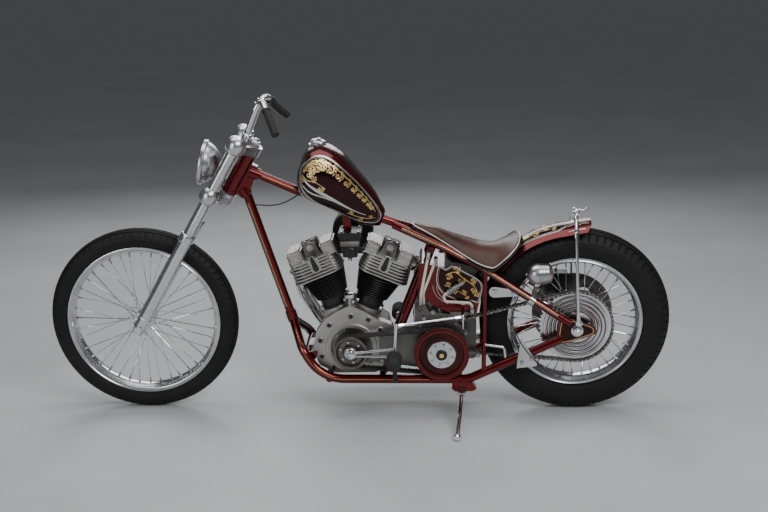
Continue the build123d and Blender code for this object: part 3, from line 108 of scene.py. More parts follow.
# Materials
def shader(name):
    """A new material with its node tree, its output shader and a function that adds nodes."""
    made = bpy.data.materials.new(name)
    made.use_nodes = True
    tree = made.node_tree
    surface = tree.nodes["Principled BSDF"]

    def add(kind, **sockets):
        node = tree.nodes.new(kind)
        for key, value in sockets.items():
            if isinstance(value, bpy.types.NodeSocket):
                tree.links.new(value, node.inputs[key.replace("_", " ")])
            elif key in node.inputs or key.replace("_", " ") in node.inputs:
                node.inputs[key.replace("_", " ")].default_value = value
            else:
                setattr(node, key, value)
        return node

    return made, tree, surface, add


def blend_of(add, tree, factor, stops):
    """A colour ramp over a factor, from (place, colour) stops."""
    ramp = add("ShaderNodeValToRGB")
    tree.links.new(factor, ramp.inputs["Fac"])
    band = ramp.color_ramp
    while len(band.elements) < len(stops):
        band.elements.new(0.5)
    for element, (spot, colour) in zip(band.elements, stops):
        element.position = spot
        element.color = (*colour, 1)
    return ramp.outputs["Color"]


def span_of(add, tree, value, low, high):
    """A value from 0 to 1 spread between a low and a high one."""
    node = add("ShaderNodeMapRange")
    tree.links.new(value, node.inputs["Value"])
    node.inputs["To Min"].default_value = low
    node.inputs["To Max"].default_value = high
    return node.outputs["Result"]


def finish_of(name, light, dark, metal, rough, grain, bump, coat=0.0, stain=6.0):
    """A finish whose colour drifts between two tones and whose gloss has grain, both by noise.

    Grain is the noise's repeats to the metre, bump its depth in metres, rough a low and a high.
    """
    made, tree, surface, add = shader(name)
    spot = add("ShaderNodeTexCoord").outputs["Object"]
    broad = add("ShaderNodeTexNoise", Vector=spot, Scale=stain, Detail=6.0, Roughness=0.6)
    fine = add("ShaderNodeTexNoise", Vector=spot, Scale=grain, Detail=4.0, Roughness=0.55)
    tone = blend_of(add, tree, broad.outputs["Fac"], [(0.35, dark), (0.62, light)])
    tree.links.new(tone, surface.inputs["Base Color"])
    tree.links.new(span_of(add, tree, broad.outputs["Fac"], *rough), surface.inputs["Roughness"])
    surface.inputs["Metallic"].default_value = metal
    if coat:
        surface.inputs["Coat Weight"].default_value = coat
        surface.inputs["Coat Roughness"].default_value = 0.04
    height = add("ShaderNodeBump", Height=fine.outputs["Fac"], Strength=1.0, Distance=bump)
    tree.links.new(height.outputs["Normal"], surface.inputs["Normal"])
    return made


def candy(name, light, dark, coat=1.0):
    """Candy paint: bright flakes under a deep clear coat, darker where it turns away."""
    made, tree, surface, add = shader(name)
    spot = add("ShaderNodeTexCoord").outputs["Object"]
    flake = add("ShaderNodeTexVoronoi", Vector=spot, Scale=2600.0)
    cloud = add("ShaderNodeTexNoise", Vector=spot, Scale=9.0, Detail=4.0)
    turn = add("ShaderNodeLayerWeight", Blend=0.45)
    edge = blend_of(add, tree, turn.outputs["Facing"], [(0.05, light), (0.85, dark)])
    spark = add("ShaderNodeMix", data_type="RGBA", blend_type="MULTIPLY")
    tree.links.new(edge, spark.inputs[6])
    tint = blend_of(add, tree, flake.outputs["Color"], [(0.2, (0.62, 0.62, 0.62)), (0.8, (1, 1, 1))])
    tree.links.new(tint, spark.inputs[7])
    spark.inputs["Factor"].default_value = 0.8
    tree.links.new(spark.outputs[2], surface.inputs["Base Color"])
    tree.links.new(span_of(add, tree, cloud.outputs["Fac"], 0.16, 0.27), surface.inputs["Roughness"])
    surface.inputs["Metallic"].default_value = 0.75
    surface.inputs["Coat Weight"].default_value = coat
    surface.inputs["Coat Roughness"].default_value = 0.03
    height = add("ShaderNodeBump", Height=flake.outputs["Distance"], Strength=0.25, Distance=0.0001)
    tree.links.new(height.outputs["Normal"], surface.inputs["Normal"])
    return made


candy_red = candy("candy_red", (0.165, 0.0018, 0.0038), (0.010, 0.0003, 0.0006), 0.5)
candy_dark = candy("candy_dark", (0.030, 0.0010, 0.002), (0.004, 0.0003, 0.0006), 0.25)
cast_alloy = finish_of("cast_alloy", (0.57, 0.56, 0.53), (0.38, 0.37, 0.35), 1.0, (0.32, 0.50), 900, 0.00012)
gearbox_alloy = finish_of("gearbox_alloy", (0.26, 0.25, 0.24), (0.13, 0.125, 0.12), 1.0, (0.34, 0.52), 900,
                          0.00012)
polished_alloy = finish_of("polished_alloy", (0.72, 0.72, 0.74), (0.54, 0.54, 0.56), 1.0, (0.14, 0.28), 260,
                           0.00001)
brushed_alloy = finish_of("brushed_alloy", (0.62, 0.62, 0.64), (0.50, 0.50, 0.52), 1.0, (0.25, 0.34), 300,
                          0.00001)
chrome = finish_of("chrome", (0.80, 0.81, 0.83), (0.68, 0.69, 0.71), 1.0, (0.07, 0.15), 180, 0.000004)
black_iron = finish_of("black_iron", (0.022, 0.021, 0.022), (0.009, 0.009, 0.010), 0.2, (0.30, 0.48), 700,
                       0.00008)
chain_steel = finish_of("chain_steel", (0.22, 0.20, 0.18), (0.09, 0.08, 0.075), 1.0, (0.34, 0.55), 500,
                        0.00005, stain=40)
tyre_rubber = finish_of("tyre_rubber", (0.011, 0.011, 0.011), (0.006, 0.006, 0.006), 0.0, (0.50, 0.72),
                        1500, 0.00005)
rubber = finish_of("rubber", (0.032, 0.031, 0.031), (0.020, 0.020, 0.020), 0.0, (0.55, 0.75), 1200, 0.00006)
bolt_steel = finish_of("bolt_steel", (0.55, 0.55, 0.56), (0.36, 0.36, 0.37), 1.0, (0.2, 0.36), 600, 0.00002)
hose_cream = finish_of("hose_cream", (0.74, 0.70, 0.60), (0.58, 0.53, 0.44), 0.0, (0.38, 0.55), 600, 0.00004)
gold_leaf = finish_of("gold_leaf", (0.96, 0.75, 0.36), (0.72, 0.47, 0.17), 0.85, (0.24, 0.42), 900, 0.00003,
                      0.4)
silver_piping = finish_of("silver_piping", (0.72, 0.71, 0.69), (0.56, 0.55, 0.53), 0.7, (0.28, 0.42), 700,
                          0.00004)
clutch_brown = finish_of("clutch_brown", (0.070, 0.016, 0.014), (0.030, 0.008, 0.008), 0.6, (0.28, 0.44),
                         500, 0.00004)
lens_red = finish_of("lens_red", (0.36, 0.008, 0.008), (0.24, 0.005, 0.005), 0.0, (0.08, 0.16), 300,
                     0.00002, 1.0)
silver_leaf = finish_of("silver_leaf", (0.78, 0.77, 0.74), (0.60, 0.59, 0.56), 1.0, (0.24, 0.4), 900,
                        0.00003, 0.6)
leather = finish_of("brown_leather", (0.070, 0.026, 0.016), (0.024, 0.009, 0.006), 0.0, (0.26, 0.40), 420,
                    0.0003)
glass = finish_of("lamp_glass", (0.92, 0.93, 0.95), (0.88, 0.89, 0.9), 0.0, (0.03, 0.08), 300, 0.00001)
glass.node_tree.nodes["Principled BSDF"].inputs["Transmission Weight"].default_value = 0.85
for matt in (tyre_rubber, rubber, leather):
    matt.node_tree.nodes["Principled BSDF"].inputs["Specular IOR Level"].default_value = 0.28
pale_floor = finish_of("pale_floor", (0.56, 0.57, 0.58), (0.50, 0.51, 0.52), 0.0, (0.5, 0.62), 60, 0.0002,
                       stain=1.2)

FINISHES = {
    "candy_red": candy_red,
    "cast_alloy": cast_alloy,
    "polished_alloy": polished_alloy,
    "chrome": chrome,
    "black_iron": black_iron,
    "chain_steel": chain_steel,
    "tyre_rubber": tyre_rubber,
    "rubber": rubber,
    "brown_leather": leather,
    "lamp_glass": glass,
    "hose_cream": hose_cream,
}
for entry in frame["record"]["subparts"]:
    node = frame["nodes"][entry["node"]]
    node.data.materials.clear()
    node.data.materials.append(FINISHES[entry["material_slot"]])
for name, finish in (("gearbox", gearbox_alloy), ("brake_caliper", black_iron), ("brake_disc", chain_steel),
                     ("oil_fittings", bolt_steel),
                     ("fork_tubes", polished_alloy), ("air_cleaner", black_iron),
                     ("valve_gear", gearbox_alloy),
                     ("upper_tree", brushed_alloy), ("lower_tree", brushed_alloy)):
    frame["nodes"][name].data.materials[0] = finish


# Surfaces: each is (points, faces), faces a list of arrays of corners
def lattice(rows, columns, wrap_rows=False, wrap_columns=False):
    """Quads between the neighbouring points of a grid, joined round where it wraps."""
    k = np.arange(rows * columns).reshape(rows, columns)
    if wrap_rows:
        k = np.vstack([k, k[:1]])
    if wrap_columns:
        k = np.hstack([k, k[:, :1]])
    return np.stack([k[:-1, :-1], k[1:, :-1], k[1:, 1:], k[:-1, 1:]], axis=-1).reshape(-1, 4)


def skin(points, wrap_rows=False, wrap_columns=True, capped=True):
    """A grid of points as a surface. Where its columns wrap, each end row may be closed by a face."""
    rows, columns = points.shape[:2]
    faces = [lattice(rows, columns, wrap_rows, wrap_columns)]
    if capped and wrap_columns and not wrap_rows:
        faces.append(np.arange(columns)[None, ::-1])
        faces.append(((rows - 1) * columns + np.arange(columns))[None])
    return points.reshape(-1, 3), faces


def outward(verts, faces):
    """Turns a closed surface's faces outwards: its volume, summed over fans from a point, is positive."""
    total = 0.0
    middle = verts.mean(0)
    for corners in faces:
        a = verts[corners[:, 0]] - middle
        for k in range(1, corners.shape[1] - 1):
            b = verts[corners[:, k]] - middle
            c = verts[corners[:, k + 1]] - middle
            total += np.einsum("ij,ij->", a, np.cross(b, c))
    return faces if total >= 0 else [corners[:, ::-1] for corners in faces]


def solid(points, **how):
    """A closed surface from a grid of points, facing outwards."""
    verts, faces = skin(points, **how)
    return verts, outward(verts, faces)


def across(axis):
    """Two unit directions square to an axis and to each other."""
    axis = np.asarray(axis, float) / np.linalg.norm(axis)
    guide = np.array([0.0, 0.0, 1.0]) if abs(axis[2]) < 0.9 else np.array([1.0, 0.0, 0.0])
    first = np.cross(guide, axis)
    first /= np.linalg.norm(first)
    return axis, first, np.cross(axis, first)


def lathe(profile, origin, axis, sides=48, closed=False):
    """Turns (along, radius) points round an axis: origin + axis*a + r*(cos t*e1 + sin t*e2)."""
    profile = np.asarray(profile, float)
    axis, first, second = across(axis)
    t = np.linspace(0, 2 * pi, sides, endpoint=False)
    ring = np.cos(t)[:, None] * first + np.sin(t)[:, None] * second
    points = np.asarray(origin, float) + profile[:, None, :1] * axis + profile[:, None, 1:] * ring[None]
    return solid(points, wrap_rows=closed)


def rounded_path(corners, radii, step=4.0):
    """Points along a line whose corners are rounded: straights, and arcs of the given radii."""
    corners = np.asarray(corners, float)
    out = [corners[0]]
    for k in range(1, len(corners) - 1):
        back = corners[k - 1] - corners[k]
        onward = corners[k + 1] - corners[k]
        back /= np.linalg.norm(back)
        onward /= np.linalg.norm(onward)
        half = np.arccos(np.clip(back @ onward, -1, 1)) / 2
        run = radii[k - 1] / np.tan(half)
        start = corners[k] + back * run
        centre = corners[k] + (back + onward) / np.linalg.norm(back + onward) * radii[k - 1] / np.sin(half)
        e1 = (start - centre) / radii[k - 1]
        e2 = -back
        sweep = pi - 2 * half
        t = np.linspace(0, sweep, max(3, int(sweep * radii[k - 1] / step) + 2))[:, None]
        out.extend(centre + radii[k - 1] * (np.cos(t) * e1 + np.sin(t) * e2))
    out.append(corners[-1])
    return np.array(out)


def resampled(path, count):
    """The same line with evenly spaced points."""
    path = np.asarray(path, float)
    run = np.concatenate([[0], np.cumsum(np.linalg.norm(np.diff(path, axis=0), axis=1))])
    s = np.linspace(0, run[-1], count)
    return np.stack([np.interp(s, run, path[:, k]) for k in range(3)], axis=-1)


def carried(path):
    """Unit directions along a line and two square to it, carried along without twist."""
    path = np.asarray(path, float)
    along = np.gradient(path, axis=0)
    along /= np.linalg.norm(along, axis=1)[:, None]
    _, first, _ = across(along[0])
    firsts = []
    for way in along:
        first = first - way * (first @ way)
        first = first / np.linalg.norm(first)
        firsts.append(first)
    firsts = np.array(firsts)
    return along, firsts, np.cross(along, firsts)


def tube(path, radius, sides=12):
    """A round bar along a line: path + r*(cos t*e1 + sin t*e2), closed at both ends."""
    path = np.asarray(path, float)
    radius = np.broadcast_to(np.asarray(radius, float), (len(path),))
    _, first, second = carried(path)
    t = np.linspace(0, 2 * pi, sides, endpoint=False)
    ring = np.cos(t)[None, :, None] * first[:, None] + np.sin(t)[None, :, None] * second[:, None]
    return solid(path[:, None] + radius[:, None, None] * ring)


def bar(start, end, radius, sides=16, chamfer=0.6):
    """A straight round bar with chamfered ends."""
    start, end = np.asarray(start, float), np.asarray(end, float)
    length = np.linalg.norm(end - start)
    chamfer = min(chamfer, radius * 0.4, length * 0.4)
    profile = [(0, radius - chamfer), (chamfer, radius), (length - chamfer, radius),
               (length, radius - chamfer)]
    return lathe(profile, start, end - start, sides)


def slab(outline, low, high, origin=(0, 0, 0), bevel=0.0):
    """An outline of (x, z) points given thickness along Y, its edges bevelled, set at an origin."""
    outline = np.asarray(outline, float)
    middle = outline.mean(0)
    size = np.linalg.norm(outline - middle, axis=1).max()
    inner = middle + (outline - middle) * (1 - bevel / size)
    rows = [(inner, low), (outline, low + bevel), (outline, high - bevel), (inner, high)]
    if not bevel:
        rows = [(outline, low), (outline, high)]
    points = np.array([np.stack([xz[:, 0], np.full(len(xz), y), xz[:, 1]], -1) for xz, y in rows])
    return solid(points + np.asarray(origin, float))


def hexagon(width):
    """A hexagon's corners for a width across its flats."""
    t = radians(30) + np.arange(6) * pi / 3
    return np.stack([np.cos(t), np.sin(t)], axis=-1) * width / 2 / cos(pi / 6)


def bolt(origin, axis, width, height=None, washer=True):
    """A hexagon bolt head with a chamfered crown on its washer, standing on a face."""
    height = height or width * 0.62
    parts = []
    base = 0.0
    axis, first, second = across(axis)
    if washer:
        parts.append(lathe([(0, width * 0.62), (1.2, width * 0.62), (1.2, width * 0.5)], origin, axis, 18))
        base = 1.2
    corners = hexagon(width)
    rows = [(1.0, base), (1.0, base + height * 0.82), (0.86, base + height)]
    points = np.array([y * axis + k * (corners[:, :1] * first + corners[:, 1:] * second) for k, y in rows])
    parts.append(solid(points + np.asarray(origin, float)))
    return merged(parts)


def merged(parts):
    """Several (points, faces) as one."""
    verts, faces, count = [], [], 0
    for points, corners in parts:
        verts.append(points)
        faces.extend(c + count for c in corners)
        count += len(points)
    return np.concatenate(verts), faces


def mirrored(part):
    """The part on the other side of the bike: Y changes sign and the faces turn with it."""
    points, faces = part
    return points * (1, -1, 1), [c[:, ::-1] for c in faces]


def piece(name, body, parts, replaces=(), crease=32.0):
    """Makes one object of surfaces, each with its finish, leaned into place and riding on a body."""
    finishes = []
    verts, loops, sizes, marks, count = [], [], [], [], 0
    for (points, faces), finish in parts:
        if finish not in finishes:
            finishes.append(finish)
        verts.append(points)
        for corners in faces:
            loops.append((corners + count).ravel())
            sizes.append(np.full(len(corners), corners.shape[1]))
            marks.append(np.full(len(corners), finishes.index(finish)))
        count += len(points)
    verts = place(np.concatenate(verts))
    loops, sizes, marks = (np.concatenate(a).astype(np.int32) for a in (loops, sizes, marks))
    mesh = bpy.data.meshes.new(name)
    mesh.vertices.add(len(verts))
    mesh.vertices.foreach_set("co", verts.astype(np.float32).ravel())
    mesh.loops.add(len(loops))
    mesh.loops.foreach_set("vertex_index", loops)
    mesh.polygons.add(len(sizes))
    mesh.polygons.foreach_set("loop_start", np.concatenate([[0], np.cumsum(sizes)[:-1]]).astype(np.int32))
    mesh.polygons.foreach_set("material_index", marks)
    mesh.polygons.foreach_set("use_smooth", np.ones(len(sizes), bool))
    for finish in finishes:
        mesh.materials.append(finish)
    mesh.update(calc_edges=True)
    mesh.validate()
    mesh.set_sharp_from_angle(angle=radians(crease))
    made = bpy.data.objects.new(name, mesh)
    bpy.context.scene.collection.objects.link(made)
    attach(made, body)
    if replaces:
        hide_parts(*replaces)
    return made


# Wheels
def tyre(wheel, radius, half, rim_radius, rim_half, pitches, zigzag):
    """A tyre: a round crown cut by tread grooves, ringed walls, beads and the inner liner.

    Column k of the grid runs round the tyre at an angle a_k off the crown: y = half*sin a and
    r = radius - half + half*cos a, less the groove's depth. The grooves' columns swing to and fro
    along the wheel by a triangle wave, and cross grooves cut the shoulders once in each pitch.
    """
    shoulder = radius - half
    steps = 6
    phase = np.tile([0.0, 0.08, 0.25, 0.5, 0.58, 0.75], pitches) + np.repeat(np.arange(pitches), steps)
    theta = phase / pitches * 2 * pi
    wave = 2 * np.abs(2 * (phase % 1) - 1) - 1
    depth = 0.085 * half
    # Columns across the crown: angle off the crown in degrees, groove or rib
    marks = [(0, 1), (3.2, 1), (3.6, 0), (15, 0), (15.4, 1), (19, 1), (19.4, 0), (33, 0), (33.4, 1), (37, 1),
             (37.4, 0), (50, 0), (51, 0.0), (60, 0.0), (66, 0.0), (72, 0.0)]
    angles = np.radians([a for a, _ in marks])
    cut = np.array([g for _, g in marks], float)
    sweep = np.concatenate([-angles[:0:-1], angles])
    cut = np.concatenate([cut[:0:-1], cut])
    swing = np.where(np.abs(np.degrees(sweep)) < 40, zigzag, 0.0)
    a = sweep[None] + np.radians(swing)[None] * wave[:, None]
    lateral = (np.abs(np.degrees(sweep)) > 37.3) & (np.abs(np.degrees(sweep)) < 62)
    cross_cut = (np.arange(len(phase)) % steps == 0)[:, None] & lateral[None]
    sunk = depth * np.maximum(cut[None], 0.8 * cross_cut)
    y = (half - sunk) * np.sin(a)
    r = shoulder + (half - sunk) * np.cos(a)
    # The wall from the shoulder to the bead, with raised rings, then the liner back under the crown
    wall = []
    low = rim_radius + 3
    brow = radians(72)
    for t in np.linspace(0.06, 1, 22):
        bulge = half * (1.0 - 0.14 * t ** 2.2) - 1.2 * t
        level = shoulder + half * cos(brow) * (1 - t) - (shoulder - low) * t
        edge = 0.9 if 0.18 < t < 0.24 or 0.80 < t < 0.86 else 0.0
        wall.append((bulge * (sin(brow) + (1 - sin(brow)) * min(1, t * 3)) + edge, level))
    bead = rim_half - 5.3
    wall += [(bead + 4.5, low - 1), (bead, rim_radius - 1), (bead, rim_radius - 9.7),
             (bead - 6, rim_radius - 9.7)]
    liner = [(bead - 9, rim_radius + 6), (half * 0.78, shoulder), (half * 0.5, radius - half * 0.35),
             (0, radius - 9)]
    side = np.array(wall + liner)
    rows = len(theta)
    right = np.broadcast_to(side[None], (rows, *side.shape))
    left = np.broadcast_to((side[::-1] * (-1, 1))[None][:, 1:], (rows, len(side) - 1, 2))
    profile = np.concatenate([np.stack([y, r], -1), right, left], axis=1)
    middle = np.asarray(wheel)
    points = np.stack(
        [
            middle[0] + profile[..., 1] * np.cos(theta)[:, None],
            middle[1] + profile[..., 0],
            middle[2] + profile[..., 1] * np.sin(theta)[:, None],
        ],
        axis=-1,
    )
    return solid(points, wrap_rows=True)


def rim(wheel, radius, half):
    """A polished drop-centre rim: rolled lips, a step inside each, bead seats and the well."""
    edge = [
        (half - 4.6, radius - 9.6), (half - 4.8, radius - 2.0), (half - 4.0, radius - 0.4),
        (half - 2.2, radius), (half - 0.6, radius - 0.8), (half, radius - 2.6), (half, radius - 5.0),
        (half - 1.4, radius - 6.6), (half - 1.8, radius - 10.5), (half - 0.4, radius - 12.5),
        (half - 1.2, radius - 14.4), (half - 4.0, radius - 15.6), (half * 0.62, radius - 20.5),
        (half * 0.5, radius - 24.0), (half * 0.3, radius - 25.4),
    ]
    outer = [(-y, r) for y, r in edge] + [(y, r) for y, r in edge[::-1]]
    well = [(half * 0.5 - 5, radius - 19.5), (-half * 0.5 + 5, radius - 19.5)]
    return lathe(outer + well, wheel, LEFT, 160, closed=True)


def wheel_frame(wheel, angle, y, radius):
    """The point at an angle round a wheel, a distance along its axle and a radius."""
    return np.array([wheel[0] + radius * cos(angle), wheel[1] + y, wheel[2] + radius * sin(angle)])


def laced_spokes(wheel, flange_r, flange_y, rim_r, crossing, count=40):
    """Laced spokes: elbows through the flanges' holes, bars crossing to the rim, and nipples."""
    steel, nipples = [], []
    end_r = rim_r - 25.0
    for k in range(count):
        side = 1 if k % 2 else -1
        way = 1 if (k // 2) % 2 else -1
        rim_angle = 2 * pi * k / count
        hub_angle = rim_angle + way * crossing
        face = side * flange_y
        hole = wheel_frame(wheel, hub_angle, face, flange_r - 6)
        out = wheel_frame(wheel, hub_angle, face + way * 3.6, flange_r - 5.2)
        end = wheel_frame(wheel, rim_angle, side * 5.0, end_r)
        lead = (end - out) / np.linalg.norm(end - out)
        path = [hole - np.array([0, way * 3.4, 0]), hole + np.array([0, way * 2.2, 0]), out + lead * 3,
                end - lead * 16]
        steel.append(tube(path, 1.6, 7))
        steel.append(lathe([(0, 1.2), (0.6, 3.0), (1.8, 3.0), (2.4, 1.6)], hole - np.array([0, way * 4.6, 0]),
                           (0, way, 0), 8))
        nipples.append(lathe([(0, 1.9), (1, 2.9), (12, 2.9), (13, 4.2), (16.5, 4.2)], end - lead * 17, lead,
                             8))
    return merged(steel), merged(nipples)


def wheel_pieces():
    """Both wheels' tyres, rims and spokes."""
    for name, wheel, sizes, flange, crossing, pitches, zigzag in (
        ("front", FRONT_WHEEL, (FRONT_TYRE_R, FRONT_TYRE_HALF, FRONT_RIM_R, FRONT_RIM_HALF), (36, 31), 34,
         76, 0.0),
        ("rear", REAR_WHEEL, (REAR_TYRE_R, REAR_TYRE_HALF, REAR_RIM_R, REAR_RIM_HALF), (47, 38), 38, 70, 2.2),
    ):
        body = name + "_wheel"
        rubber_ring = tyre(wheel, *sizes, pitches, zigzag)
        piece(name + "_tyre_treaded", body, [(rubber_ring, tyre_rubber)], [name + "_tyre"], 40)
        piece(name + "_rim_polished", body, [(rim(wheel, *sizes[2:]), polished_alloy)],
              [name + "_rim"])
        steel, nipples = laced_spokes(wheel, *flange, sizes[2], radians(crossing))
        piece(name + "_spokes_laced", body, [(steel, chrome), (nipples, bolt_steel)],
              [name + "_spokes"])


wheel_pieces()


# Bodywork
RAIL_Z = REAR_AXLE_Z - 183.0
CLUTCH = (REAR_TYRE_R + 136.0, RAIL_Z + 107.0)
CRANK = (CLUTCH[0] + 323.0, RAIL_Z + 107.0)


def from_axle(x, y, rise):
    """A place given ahead of, to the left of and above the rear axle."""
    return x, y, REAR_AXLE_Z + rise


def from_crank(x, y, rise):
    """A place given ahead of, to the left of and above the crank's middle."""
    return CRANK[0] + x, y, CRANK[1] + rise


def from_clutch(x, y, rise):
    """A place given ahead of, to the left of and above the clutch's middle."""
    return CLUTCH[0] + x, y, CLUTCH[1] + rise


def ring_of(count, centre, radius, y, start=0.0):
    """Places evenly spaced round an (x, z) centre."""
    turn = np.arange(count) * 2 * pi / count + start
    return np.stack([centre[0] + radius * np.cos(turn), y + 0 * turn, centre[1] + radius * np.sin(turn)], -1)


def eased(table, at):
    """Values of a table's columns at places along its first one, by cubic curves without overshoot."""
    table = np.asarray(table, float)
    x, y = table[:, 0], table[:, 1:]
    step = np.diff(x)[:, None]
    slope = np.diff(y, axis=0) / step
    middle = np.where(slope[1:] * slope[:-1] > 0,
                      2 * slope[1:] * slope[:-1] / (slope[1:] + slope[:-1] + 1e-12), 0)
    ends = np.concatenate([slope[:1], middle, slope[-1:]])
    at = np.clip(np.asarray(at, float), x[0], x[-1])
    k = np.clip(np.searchsorted(x, at, side="right") - 1, 0, len(x) - 2)
    t = ((at - x[k]) / (x[k + 1] - x[k]))[..., None]
    h = step[k]
    value = (2 * t**3 - 3 * t**2 + 1) * y[k] + (t**3 - 2 * t**2 + t) * h * ends[k]
    value += (-2 * t**3 + 3 * t**2) * y[k + 1] + (t**3 - t**2) * h * ends[k + 1]
    return value


def through(a, b, c, d, t):
    """Catmull and Rom's cubic from b to c, whose ends lean on a and d."""
    value = 2 * b + (c - a) * t + (2 * a - 5 * b + 4 * c - d) * t**2
    return 0.5 * (value + (3 * b - a - 3 * c + d) * t**3)


def closed_curve(knots, count):
    """A smooth closed line through knots, as count points."""
    knots = np.asarray(knots, float)
    n = len(knots)
    u = np.linspace(0, n, count, endpoint=False)
    k = u.astype(int)
    t = (u - k)[:, None]
    a, b, c, d = (knots[(k + j) % n] for j in (-1, 0, 1, 2))
    return through(a, b, c, d, t)


def open_curve(knots, count):
    """A smooth line through knots from the first to the last, as count points."""
    knots = np.asarray(knots, float)
    u = np.linspace(0, len(knots) - 1, count)
    padded = np.concatenate([2 * knots[:1] - knots[1:2], knots, 2 * knots[-1:] - knots[-2:-1]])
    k = np.minimum(u.astype(int), len(knots) - 2)
    t = (u - k)[:, None]
    a, b, c, d = (padded[k + j] for j in range(4))
    return through(a, b, c, d, t)


def painted(line, width, onto, closed=False):
    """A raised line of leaf: a flat path widened both ways, its edges sunk, laid on a surface.

    Onto takes flat points and a lift and gives the surface's own points.
    """
    line = np.asarray(line, float)
    width = np.broadcast_to(np.asarray(width, float), (len(line),))[:, None]
    if closed:
        way = np.roll(line, -1, axis=0) - np.roll(line, 1, axis=0)
    else:
        way = np.gradient(line, axis=0)
    way /= np.linalg.norm(way, axis=1)[:, None] + 1e-12
    side = np.stack([-way[:, 1], way[:, 0]], axis=-1)
    rows = [(-0.5, -0.25), (-0.44, 0.22), (0.0, 0.34), (0.44, 0.22), (0.5, -0.25)]
    points = np.stack([onto(line + side * width * k, lift) for k, lift in rows], axis=1)
    return skin(points, wrap_rows=closed, wrap_columns=False)


def curl(centre, start, turns, first, last, broad, fine, count=44):
    """A scroll: a spiral from a first to a last radius that tapers from broad to fine, then a bead."""
    t = np.linspace(0, 1, count)
    turn = start + turns * 2 * pi * t
    r = first * (last / first) ** (t**0.85)
    line = np.asarray(centre) + r[:, None] * np.stack([np.cos(turn), np.sin(turn)], axis=-1)
    width = broad + (fine - broad) * t
    width = width * np.minimum(1, 0.25 + t * 6)
    width[-6:] = np.maximum(width[-6:], fine * np.array([1.0, 1.4, 1.9, 2.2, 1.9, 0.9]))
    return line, width


def leaf(root, way, length, broad, bend, count=16):
    """A leaf: a bent line whose width swells near its root and runs out to a point."""
    t = np.linspace(0, 1, count)
    turn = way + bend * t
    step = length / (count - 1)
    line = np.asarray(root) + np.cumsum(np.stack([np.cos(turn), np.sin(turn)], axis=-1) * step, axis=0)
    return line, broad * np.sin(pi * np.clip(t * 0.94 + 0.05, 0, 1) ** 0.6) + 0.15


def scrollwork(stem, sizes, onto, flip=1, broad=3.2, inward=False):
    """A running scroll: a stem, and curls thrown off it by turns to either side, with leaves.

    With inward, every curl lies on one side and small leaves stand on the other.
    """
    strokes = [painted(stem, np.linspace(broad * 0.9, broad * 0.4, len(stem)), onto)]
    top = max(size for _, size in sizes)
    for k, (share, size) in enumerate(sizes):
        spot = stem[int(share * (len(stem) - 1))]
        ahead = stem[min(len(stem) - 1, int(share * (len(stem) - 1)) + 2)] - spot
        heading = np.arctan2(ahead[1], ahead[0])
        side = flip if inward else flip * (1 if k % 2 else -1)
        normal = heading + side * pi / 2
        thick = broad * (0.55 + 0.45 * size / top)
        centre = spot + size * np.array([cos(normal), sin(normal)])
        line, width = curl(centre, normal + pi, side * 1.55, size, size * 0.16, thick, thick * 0.45)
        strokes.append(painted(line, width, onto))
        for shift, length, bend in ((0.35, 1.25, -0.9), (0.9, 0.95, -1.2), (1.6, 0.75, -1.3)):
            root = centre + size * np.array([cos(normal + pi + side * shift),
                                             sin(normal + pi + side * shift)])
            tip_way = normal + pi + side * (shift + 0.9)
            line, width = leaf(root, tip_way, size * length, thick * 1.15, side * bend * -1)
            strokes.append(painted(line, width, onto))
        if inward:
            for turn, reach in ((2.5, 0.42), (2.1, 0.34)):
                line, width = leaf(spot, heading - side * (pi - turn), size * reach + 3, thick, side * 0.9)
                strokes.append(painted(line, width, onto))
    return strokes


# Fuel tank. Columns: along it from its tail, half width, underside, top
TANK_ROWS = [
    (-1.0, 7.0, -14.0, 8.0), (0.0, 15.0, -34.0, 18.0), (22.0, 30.0, -44.0, 42.0), (60.0, 52.0, -50.0, 78.0),
    (140.0, 84.0, -38.0, 130.0), (215.0, 106.0, -30.0, 172.0), (262.0, 112.0, -26.0, 182.0),
    (285.0, 111.0, -21.0, 182.0), (308.0, 101.0, -8.0, 172.0), (322.0, 87.0, 10.0, 158.0),
    (331.0, 66.0, 30.0, 142.0), (336.0, 40.0, 52.0, 124.0), (337.0, 18.0, 72.0, 104.0),
]
TANK_TURN = radians(19.5)
TANK_TAIL = np.array([CRANK[0] - 119.0, RAIL_Z + 570.0])
TANK_ROUND = 2.5


def tank_place(along, across_, height):
    """Upright points from places along, across and above the tank's own tilted line."""
    x = TANK_TAIL[0] + along * cos(TANK_TURN) - height * sin(TANK_TURN)
    z = TANK_TAIL[1] + along * sin(TANK_TURN) + height * cos(TANK_TURN)
    return np.stack([x, across_ + 0 * x, z], axis=-1)


def tank_skin():
    """Superellipses |y/w|^n + |h/H|^n = 1 along the tank, their sizes eased along its table."""
    u = np.linspace(0, 1, 110)
    along = -1.0 + 338.0 * (0.5 - 0.5 * np.cos(pi * u)) ** 0.94
    half, low, high = eased(TANK_ROWS, along).T
    t = np.linspace(0, 2 * pi, 96, endpoint=False)
    c, s = np.cos(t), np.sin(t)
    y = half[:, None] * np.sign(c) * np.abs(c) ** (2 / TANK_ROUND)
    h = ((high + low) / 2)[:, None] + ((high - low) / 2)[:, None] * np.sign(s) * np.abs(s) ** (2 / TANK_ROUND)
    return solid(tank_place(along[:, None] + 0 * y, y, h))


